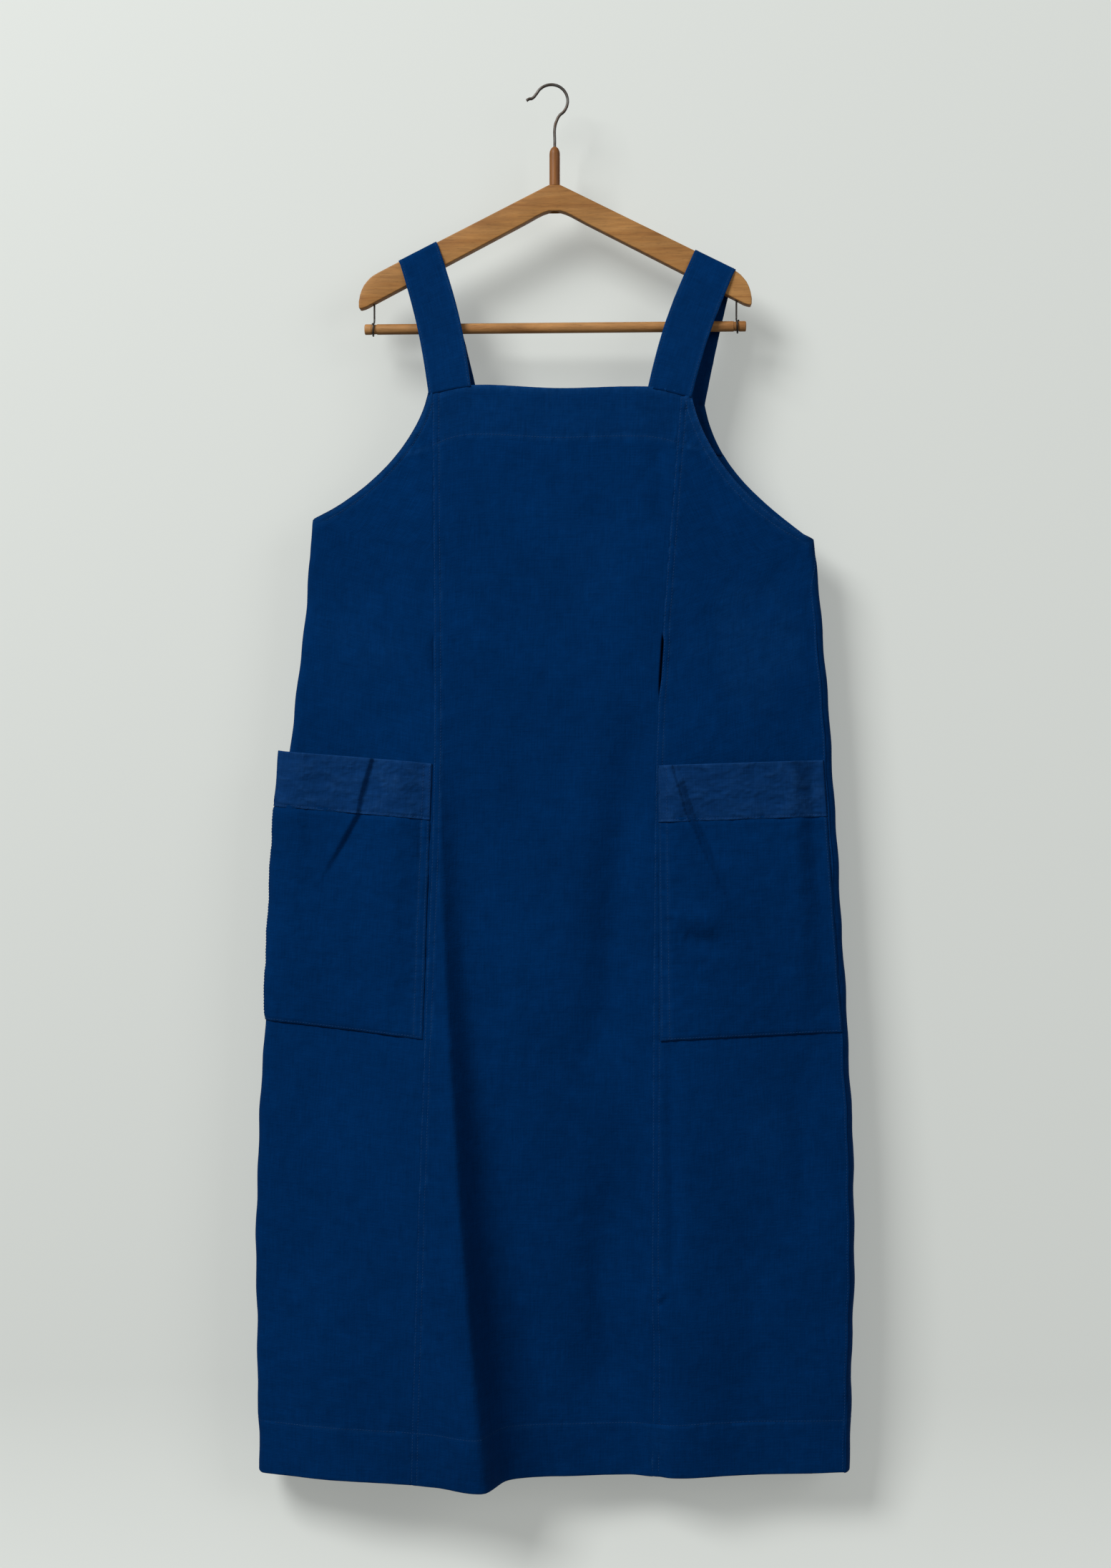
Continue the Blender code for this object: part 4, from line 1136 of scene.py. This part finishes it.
def makeSidePanel(face, side):
    out = sides[side]
    other = "back" if face == "front" else "front"
    armhole = armholes[face, side]
    topZ, cornerZ = armhole[0][1], armhole[3][1]
    turnZ = cornerZ - 0.045
    edgeCount = int(0.24 / meshStep)
    downCount = int((cornerZ - hemZ) / meshStep)
    edge = cubicCurve(armhole, np.linspace(0, 1, edgeCount + 1))
    outerHem = hemAt(seamAt(side, hemZ))
    lowerZ = np.linspace(cornerZ, outerHem, downCount + 1)[1:]
    lower = np.stack([seamAt(side, lowerZ), lowerZ], axis=-1)
    outer = np.concatenate([edge, lower])
    innerHem = hemAt(alongPoints(panelSeams[face, side], hemZ))
    innerZ = np.concatenate([np.linspace(topZ, turnZ, edgeCount + 1),
                             np.linspace(turnZ, innerHem, downCount + 1)[1:]])
    # the right-hand panel of each panel seam lies on top, and the other runs on under it
    onTop = (side == "right") == (face == "front")
    seamX = alongPoints(panelSeams[face, side], innerZ)
    innerX = seamX if onTop else seamX - out * seamAllowance
    wraps = (side == "left") == (face == "front")
    shift = sideShift[side] * ease(cornerZ, cornerZ - 0.06, outer[:, 1]) * (-1 if wraps else 1)
    sideTop = seamAt(side, innerZ)
    girthIn = girthOf(out * (sideTop - innerX))
    girthOut = girthOf(out * (seamAt(side, outer[:, 1]) - outer[:, 0])) + shift
    share = closeAtEnds(0.19, 0.0110)[None, :]
    girth = mix(girthIn[:, None], girthOut[:, None], share)
    z = mix(innerZ[:, None], outer[:, 1][:, None], share)
    x = seamAt(side, z) - out * reachOf(girth)
    seed = {"left": 2.4, "right": 4.9}[side] + (0 if face == "front" else 7)
    sewing, wearAndLight = sewnRelief(face, x, z, seed + 20)
    past = out * (x - seamX[:, None])
    if onTop:
        ridge, ridgeWear = felled(past, z, seed + 30)
        if face == "front":
            gaping = slitShare("right", z) * np.exp(-np.maximum(past, 0) / 0.0080)
            ridge = ridge + 0.0010 * gaping
            x = x + slits["right"]["width"] * gaping
    else:
        ridge, ridgeWear = tucked(-past), 0.0
        if face == "front":
            ridge = ridge - slits["left"]["dip"] * slitShare("left", z) * np.exp(-((past / 0.0045) ** 2))
    armAway, armAlong = distanceTo(cubicCurve(armhole, np.linspace(0, 1, 40)).tolist(), x, z)
    bound = 0.0006 * (1 - ease(0.0065, 0.0085, armAway))
    bound += pucker(np.abs(armAway - armholeSewing[1]), armAlong, seed + 40)
    bound += pucker(np.abs(armAway - 0.0015), armAlong, seed + 41, 0.004, 0.0005)
    wearAndLight = wearAndLight + 0.60 * np.exp(-((armAway / 0.0030) ** 2)) + 0.22 * (armAway < 0.0080)
    wearAndLight = wearAndLight + 0.30 * np.exp(-(((armAway - 0.0080) / 0.0020) ** 2))
    ending = np.abs(girth - girthOut[:, None])
    if not wraps:
        wearAndLight = wearAndLight + 0.35 * np.exp(-((ending / 0.0022) ** 2)) * (z < cornerZ - 0.02)
        bound += 0.0006 * (1 - ease(0.0, 0.0010, ending)) * (z < cornerZ)
    lift = cloth + softRelief(face, x, z) + fineRelief(x, z, seed) + sewing + ridge + bound
    # the side's outermost line is painted paler: partly the fold rubbed there, partly painted light standing
    # in for the wall's light that the turned side does not get
    wearAndLight = wearAndLight + 0.45 * np.exp(-((girth / 0.0080) ** 2)) * (z < cornerZ)
    calm = ease(0.0, 0.022, np.abs(girth))  # the turn itself stays smooth, so that front and back meet
    lift = mix(cloth, lift, np.where(z < cornerZ + 0.01, 0.25 + 0.75 * calm, 1.0))
    points = facePoints(face, x, z, lift)
    points = np.where((girth < 0)[..., None], facePoints(other, x, z, lift), points)
    normals = gridNormals(points, faceOut(face))
    if onTop:
        for inside in seamSewing:
            sew(points, normals, past - inside)
    if not wraps:
        sew(points, normals, np.where(z < cornerZ - 0.004, ending - 0.0020, np.nan))
    for inside in armholeSewing:
        sew(points, normals, np.where(z > cornerZ - 0.004, armAway - inside, np.nan))
    sew(points, normals, z - hemAt(x) - hemDepth, across=True)
    turned, turnedWear = hemRows(face, x[-1], z[-1], lift[-1] - cloth)
    behind, _ = hemRows(other, x[-1], z[-1], lift[-1] - cloth)
    turned = np.where((girth[-1] < 0)[None, :, None], behind, turned)
    points = np.concatenate([points, turned])
    wearAndLightRows = np.concatenate([wearAndLight + ridgeWear, turnedWear])
    name = face + "SidePanel" + side.capitalize()
    layGrid(name, points, wearAndLightRows, faceOut(face), layer, navy, [face + "_side_panel_" + side], "smock_cloth")


def makeFacing(face):
    inset = 0.0003 + 0.0002
    rows, columns = 14, 60
    share = np.linspace(0, facingShare, rows + 1)[:, None]
    left = cubicCurve(armholes[face, "left"], share[:, 0])
    right = cubicCurve(armholes[face, "right"], share[:, 0])
    across = np.linspace(0.004, 0.996, columns + 1)[None, :]
    x = mix(left[:, 0][:, None], right[:, 0][:, None], across)
    edge = alongPoints(topEdges[face], x) - 0.0006
    low = mix(left[-1, 1], right[-1, 1], across)
    z = mix(edge, low, share / facingShare)
    lift = -inset + 0.6 * softRelief(face, x, z) + 0.5 * fineRelief(x, z, 9.0) - 0.0009
    points = facePoints(face, x, z, lift)
    name = face + "BibFacing"
    layGrid(name, points, 0.15, lambda middles: -faceOut(face)(middles), 0.0007, navy, [face + "_bib_facing"],
            "smock_cloth")


def makeArmholeBinding(side):
    out = sides[side]
    inset = 0.0012 + 0.0004
    rows = []
    shares = np.linspace(facingShare, 0.93, 26)

    def edgeRow(face, share):
        here = cubicCurve(armholes[face, side], share)
        along = cubicCurve(armholes[face, side], share + 0.01) - here
        along /= np.linalg.norm(along)
        inward = np.array((-along[1], along[0])) * -out
        if inward[1] > 0:
            inward = -inward
        steps = np.linspace(0.0003, 0.0080, 5)
        spots = here[None] + inward[None] * steps[:, None]
        return facePoints(face, spots[:, 0], spots[:, 1], np.full(5, -inset - 0.0004))

    rows += [edgeRow("front", share) for share in shares]
    corner = armholes["front", side][3]
    drops = np.linspace(0.001, 0.009, 5)
    rows.append(np.array([(corner[0] - out * 0.0070, 0.0, corner[1] - drop) for drop in drops]))
    rows += [edgeRow("back", share) for share in shares[::-1]]
    middle = (corner[0] - out * 0.08, 0.0, corner[1] + 0.02)
    name = "armholeBinding" + side.capitalize()
    layGrid(name, np.array(rows), 0.3, lambda middles: np.array(middle) - middles, 0.0007, navy,
            ["armhole_binding_" + side], "smock_cloth")


for faceName in ("front", "back"):
    makeCentrePanel(faceName)
    for sideName in sides:
        makeSidePanel(faceName, sideName)
    makeFacing(faceName)
for sideName in sides:
    makeArmholeBinding(sideName)
print("panels, facings and bindings made")


bandShare = 0.205
pockets = {
    "left": {
        "corners": ((-0.1320, -0.7390), (-0.2830, -0.7245), (-0.1402, -1.0347), (-0.3080, -1.0170)),
        "widen": 0.0110,  # its mouth stands out past the side by this much
        "gape": 0.0115,
        "risesOver": 0.22,  # where its mouth leaves the panel and comes back to it, as shares of its width
        "fallsAway": (0.80, 1.00),
        "edgeGirth": (0.0050, 0.0020),  # where its outer edge lies round the side, at the top and the bottom
        "folds": (
            # a fold that leans over: its steep side faces inwards
            {"line": ((-0.1948, -0.7330), (-0.2060, -0.7700), (-0.2110, -0.7943), (-0.2270, -0.8230),
                      (-0.2640, -0.8860)),
             "width": 0.0016, "rise": 0.0036, "reach": 0.0130},
            {"line": ((-0.2480, -0.7560), (-0.2200, -0.7700)), "width": 0.0030, "rise": -0.0010},
            {"line": ((-0.1450, -0.8000), (-0.1400, -0.8700)), "width": 0.0030, "rise": -0.0016},
            {"line": ((-0.2700, -0.8060), (-0.2580, -0.8500)), "width": 0.0050, "rise": -0.0012},
        ),
    },
    "right": {
        "corners": ((0.1120, -0.7410), (0.2905, -0.7352), (0.1150, -1.0374), (0.3105, -1.0280)),
        "widen": 0.0,
        "gape": 0.0120,
        "risesOver": 0.09,
        "fallsAway": (0.79, 0.94),
        "edgeGirth": None,
        "folds": (
            # a slanting fold: a valley with a ridge along its inner side
            {"line": ((0.1320, -0.7340), (0.1500, -0.7920), (0.1608, -0.8128), (0.1720, -0.8400),
                      (0.1960, -0.8850)),
             "width": 0.0016, "rise": -0.0080, "flanks": (0.0070, 0.0250)},
            {"line": ((0.1240, -0.7300), (0.1415, -0.7920), (0.1520, -0.8128), (0.1630, -0.8400),
                      (0.2050, -0.9180)),
             "width": 0.0046, "rise": 0.0078, "flanks": (0.0260, 0.0085)},
            {"line": ((0.1260, -0.7360), (0.1330, -0.7600)), "width": 0.0060, "rise": -0.0050},
            {"line": ((0.1400, -0.9240), (0.2050, -0.9420)), "width": 0.0090, "rise": -0.0024},
            {"line": ((0.1300, -0.9020), (0.1950, -0.9180)), "width": 0.0150, "rise": 0.0034},
            {"line": ((0.1120, -0.8060), (0.1240, -0.8180)), "width": 0.0022, "rise": -0.0014},
            {"line": ((0.1130, -0.8700), (0.1250, -0.8800)), "width": 0.0030, "rise": -0.0014},
        ),
    },
}


def foldRelief(folds, x, z):
    made = np.zeros(np.shape(x))
    for fold in folds:
        line = fold["line"]
        away, along = distanceTo(line, x, z)
        length = sum(math.dist(a, b) for a, b in zip(line[:-1], line[1:]))
        fade = 1 - ease(0.45 * length, length, along)
        heights = [point[1] for point in line]
        right = x > np.interp(z, heights[::-1], [point[0] for point in line][::-1])
        if "reach" in fold:
            # a step: high on its left, low on its right
            signed = np.where(right, away, -away)
            profile = -signed / np.sqrt(signed**2 + fold["width"] ** 2) * np.exp(-away / fold["reach"])
            made += fold["rise"] * fade * profile
        elif "flanks" in fold:
            # a valley, or a ridge, with one flank steeper than the other
            rounded = np.sqrt(away**2 + fold["width"] ** 2)
            flank = np.where(right, fold["flanks"][1], fold["flanks"][0])
            made += fold["rise"] * fade * np.exp(-rounded / flank)
        else:
            fade = fade * ease(-0.02 * length, 0.06 * length, along)
            made += fold["rise"] * fade * np.exp(-((away / fold["width"]) ** 2))
    return made


def pocketGrid(side, downs, columns):
    # (x, z, how far across, how far down, how far it stands out past the side) of a pocket's rows
    pocket = pockets[side]
    out = sides[side]
    topInner, topOuter, lowInner, lowOuter = (np.array(corner) for corner in pocket["corners"])
    down = np.asarray(downs)[:, None]
    inner = mix(topInner, lowInner, down)
    outer = mix(topOuter, lowOuter, down)
    share = np.linspace(0, 1, columns + 1)[None, :]
    z = mix(inner[:, 1:2], outer[:, 1:2], share)
    seam = seamAt(side, z)
    girthIn = girthOf(out * (seam - inner[:, 0:1]))
    girthOut = girthOf(out * (seam - outer[:, 0:1]))
    if pocket["edgeGirth"]:
        girthOut = mix(pocket["edgeGirth"][0], pocket["edgeGirth"][1], down) + 0 * z
    girth = mix(girthIn, girthOut, share)
    widen = pocket["widen"] * (1 - down) ** 1.1 + 0 * z
    x = seam + out * widen * ease(0.10, 0.0, girth) - out * reachOf(girth)
    return x, z, share + 0 * z, down + 0 * z, widen


def pocketLift(side, x, z, share, down):
    pocket = pockets[side]
    edge = np.minimum(share, 1 - share)
    belly = ease(0.0, pocket["risesOver"], share) * (1 - ease(*pocket["fallsAway"], share))
    gape = pocket["gape"] * belly * (1 - down) ** 0.8 * 1.12
    folds = foldRelief(pocket["folds"], x, z) * ease(0.0, 0.018, edge) * (1 - ease(0.985, 1.0, down))
    gape = np.maximum(gape + folds, 0.0)
    sewn = ease(0.0, 0.018, edge) * (1 - ease(0.985, 1.0, down))
    lift = cloth + layer + 0.0004 + 0.0009 * sewn + gape
    return lift + softRelief("front", x, z)


pocketWidth = 0.165
patchHeight, bandHeight = 0.295, 0.298  # from the mouth to the foot, as the patch and its band count it


def makePocket(side):
    step = 0.0020
    columns = int(0.175 / step)
    seed = {"left": 31.0, "right": 37.0}[side]
    # the body, which tucks under the band
    downs = np.linspace(bandShare - 0.014, 1.0, int(0.245 / step) + 1)
    x, z, share, down, widen = pocketGrid(side, downs, columns)
    lift = pocketLift(side, x, z, share, down) + fineRelief(x, z, seed, 1.25)
    lift -= 0.0013 * (1 - ease(bandShare + 0.001, bandShare + 0.012, down))
    fromSide = share * pocketWidth
    fromInner = (1 - share) * pocketWidth
    fromLow = (1 - down) * patchHeight
    sewing = pucker(np.abs(fromSide - pocketSewing[0]), z, seed + 1, 0.005, 0.0006)
    sewing += pucker(np.abs(fromSide - pocketSewing[1]), z, seed + 2)
    sewing += pucker(np.abs(fromLow - hemSewing), x, seed + 3, 0.006, 0.0006)
    wearAndLight = 0.55 * np.exp(-((fromSide / 0.0022) ** 2))
    wearAndLight += 0.34 * np.exp(-(((fromSide - pocketSewing[1]) / 0.0018) ** 2))
    wearAndLight += 0.45 * np.exp(-((fromLow / 0.0020) ** 2)) + 0.40 * np.exp(-((fromInner / 0.0030) ** 2))
    points = facePoints("front", x, z, lift + sewing, widen)
    normals = gridNormals(points, faceOut("front"))
    for inside in pocketSewing:
        sew(points, normals, fromSide - inside)
    sew(points, normals, fromInner - hemSewing)
    sew(points, normals, fromLow - hemSewing, across=True)
    name = "pocketBody" + side.capitalize()
    layGrid(name, points, wearAndLight, faceOut("front"), layer, navy, ["pocket_" + side], "smock_cloth")
    # the band, folded double along the mouth and crushed by washing
    fine = 0.0013
    columns = int(0.175 / fine)
    downs = np.linspace(0.0, bandShare, int(0.064 / fine) + 1)
    x, z, share, down, widen = pocketGrid(side, downs, columns)
    bent = x + 0.004 * bumps(x, z, 0.022, seed + 15), z + 0.004 * bumps(x, z, 0.022, seed + 16)
    crush = 0.00110 * bumps(*bent, 0.0240, seed + 10, "VORONOI_F1", 0.55)
    crush += 0.00055 * bumps(*bent, 0.0110, seed + 11, "VORONOI_F2F1", 0.6)
    crush += 0.00070 * bumps(*bent, 0.0190, seed + 12, tall=0.6) + 0.00022 * bumps(x, z, 0.0042, seed + 13)
    crush -= 0.0006
    # the band's colour follows its crumple: paler on the crests, darker in the hollows
    wearAndLight = 0.45 + 0.40 * np.clip(crush / 0.0011, -1, 1)
    fromTop, fromSeam = down * bandHeight, (bandShare - down) * bandHeight
    wearAndLight += 0.45 * np.exp(-((fromTop / 0.0020) ** 2)) + 0.60 * np.exp(-((fromSeam / 0.0016) ** 2))
    crush *= ease(0.0, 0.03, np.minimum(share, 1 - share))
    lift = pocketLift(side, x, z, share, down) + crush + 0.0004
    lift += pucker(np.abs(fromSeam - hemSewing), x, seed + 14, 0.005, 0.0007)
    points = facePoints("front", x, z, lift, widen)
    normals = gridNormals(points, faceOut("front"))
    sew(points, normals, fromSeam - hemSewing, across=True)
    for inside in pocketSewing:
        sew(points, normals, share * pocketWidth - inside)
    # round the folded mouth and down its inside
    lastLift = lift[0]
    rows = []
    for angle in np.linspace(30, 150, 5):
        turn = math.radians(angle)
        rows.append(facePoints("front", x[0], z[0] + 0.0009 * math.sin(turn) - 0.0003,
                               lastLift - 0.0010 * (1 - math.cos(turn)), widen[0]))
    for k in range(1, 9):
        row = min(k * 3, len(x) - 1 - (9 - k))
        rows.append(facePoints("front", x[row], z[row], lift[row] - 0.0021, widen[row]))
    points = np.concatenate([np.array(rows)[::-1], points])
    wearAndLight = np.concatenate([np.full((len(rows), columns + 1), 0.35), wearAndLight])
    name = "pocketBand" + side.capitalize()
    layGrid(name, points, wearAndLight, faceOut("front"), layer, navyBand, ["pocket_band_" + side], "band_cloth")


for sideName in sides:
    makePocket(sideName)
print("pockets made")


straps = {
    "seats": {"left": (-0.1287, -0.1700), "right": (0.1525, 0.1960)},  # x on the yoke, inner edge first
    "ends": {
        ("front", "left"): ((-0.0900, -0.3280), (-0.1362, -0.3358)),
        ("front", "right"): ((0.1011, -0.3315), (0.1484, -0.3413)),
        ("back", "left"): ((-0.0820, -0.3470), (-0.1278, -0.3460)),
        ("back", "right"): ((0.1160, -0.3467), (0.1632, -0.3455)),
    },
    "width": 0.046,
    "thickness": 0.0016,
    "sewing": 0.0024,  # how far inside each edge the strap is sewn
    "slope": math.radians(26.6),
    "apexZ": -0.1088,
    "padHalf": 0.0064,
}


def makeStrap(side):
    out = sides[side]
    shape = straps
    upSlope = np.array((out * math.sin(shape["slope"]), 0.0, math.cos(shape["slope"])))
    edgeRound, half = yokeShape["edgeRound"], yokeShape["thickness"] / 2
    gap = 0.0003 + shape["thickness"]
    flat, bend = half - edgeRound, edgeRound + gap
    section = []
    for sign in (-1, 1):
        angles = np.linspace(0, math.pi / 2, 7)
        turns = [(sign * (flat + bend * math.cos(a)), bend * (math.sin(a) - 1)) for a in angles]
        section += turns if sign < 0 else turns[::-1]
    columns = 30
    share = np.linspace(0, 1, columns + 1)
    seatX = mix(*shape["seats"][side], share)
    armZ = shape["apexZ"] - (np.abs(seatX) - shape["padHalf"]) * math.tan(shape["slope"])
    over = []
    for y, rise in section:
        row = np.stack([seatX, np.full(columns + 1, y), armZ], axis=-1)
        over.append(row + upSlope[None] * (rise + gap))

    def hanging(face, seatRow):
        inner, outer = (np.array(end) for end in shape["ends"][face, side])
        spotX = mix(inner[0], outer[0], share)
        spotZ = alongPoints(topEdges[face], spotX) - 0.0020
        low = facePoints(face, spotX, spotZ, np.full(columns + 1, cloth - 0.0001))
        count = 54
        rows = []
        for k in range(count):
            part = k / count
            row = mix(low, seatRow, part)
            bow = math.sin(math.pi * part)
            row[:, 0] -= out * bow * mix(0.0050, 0.0036, share) * (1 if face == "front" else 0.3)
            row[:, 1] += (-1 if face == "front" else 1) * 0.0010 * bow
            rows.append(row)
        return rows

    rows = hanging("front", over[0]) + over + hanging("back", over[-1])[::-1]
    points = np.array(rows)
    # sewing down both edges, and the crumple of washed cloth
    along = np.linalg.norm(np.diff(points, axis=0), axis=2).cumsum(0)
    along = np.concatenate([np.zeros((1, columns + 1)), along])
    fromEdge = np.minimum(share, 1 - share)[None, :] * shape["width"] + 0 * along
    seed = {"left": 51.0, "right": 55.0}[side]
    across = share[None, :] * shape["width"] + 0 * along
    relief = fineRelief(across, along, seed, 1.0)
    relief += pucker(np.abs(fromEdge - shape["sewing"]), along, seed + 1, 0.005, 0.0007)
    onYoke = np.zeros(len(rows))
    first = len(rows) // 2 - len(over) // 2 - 3
    onYoke[first:first + len(over) + 6] = 1
    relief = np.maximum(relief, -0.0001) * (1 - 0.8 * onYoke[:, None])
    downRow = np.gradient(points, axis=0)
    acrossRow = np.gradient(points, axis=1)
    normals = np.cross(downRow, acrossRow)
    normals /= np.linalg.norm(normals, axis=-1, keepdims=True)
    middle = np.array((sum(shape["seats"][side]) / 2, 0.0, -0.332))
    if ((points - middle) * normals).sum() < 0:
        normals = -normals
    points = points + normals * relief[..., None]
    for edge in (shape["sewing"], shape["width"] - shape["sewing"]):
        sew(points, normals, across - edge)
    wearAndLight = 0.50 * np.exp(-((fromEdge / 0.0016) ** 2))
    wearAndLight += 0.30 * np.exp(-(((fromEdge - 0.0030) / 0.0015) ** 2))
    wearAndLight += 0.10
    name = "shoulderStrap" + side.capitalize()
    layGrid(name, points, wearAndLight, outFrom(middle), shape["thickness"], navy, ["strap_" + side], "smock_cloth")


for sideName in sides:
    makeStrap(sideName)
makeStitching()
print("straps and stitching made")
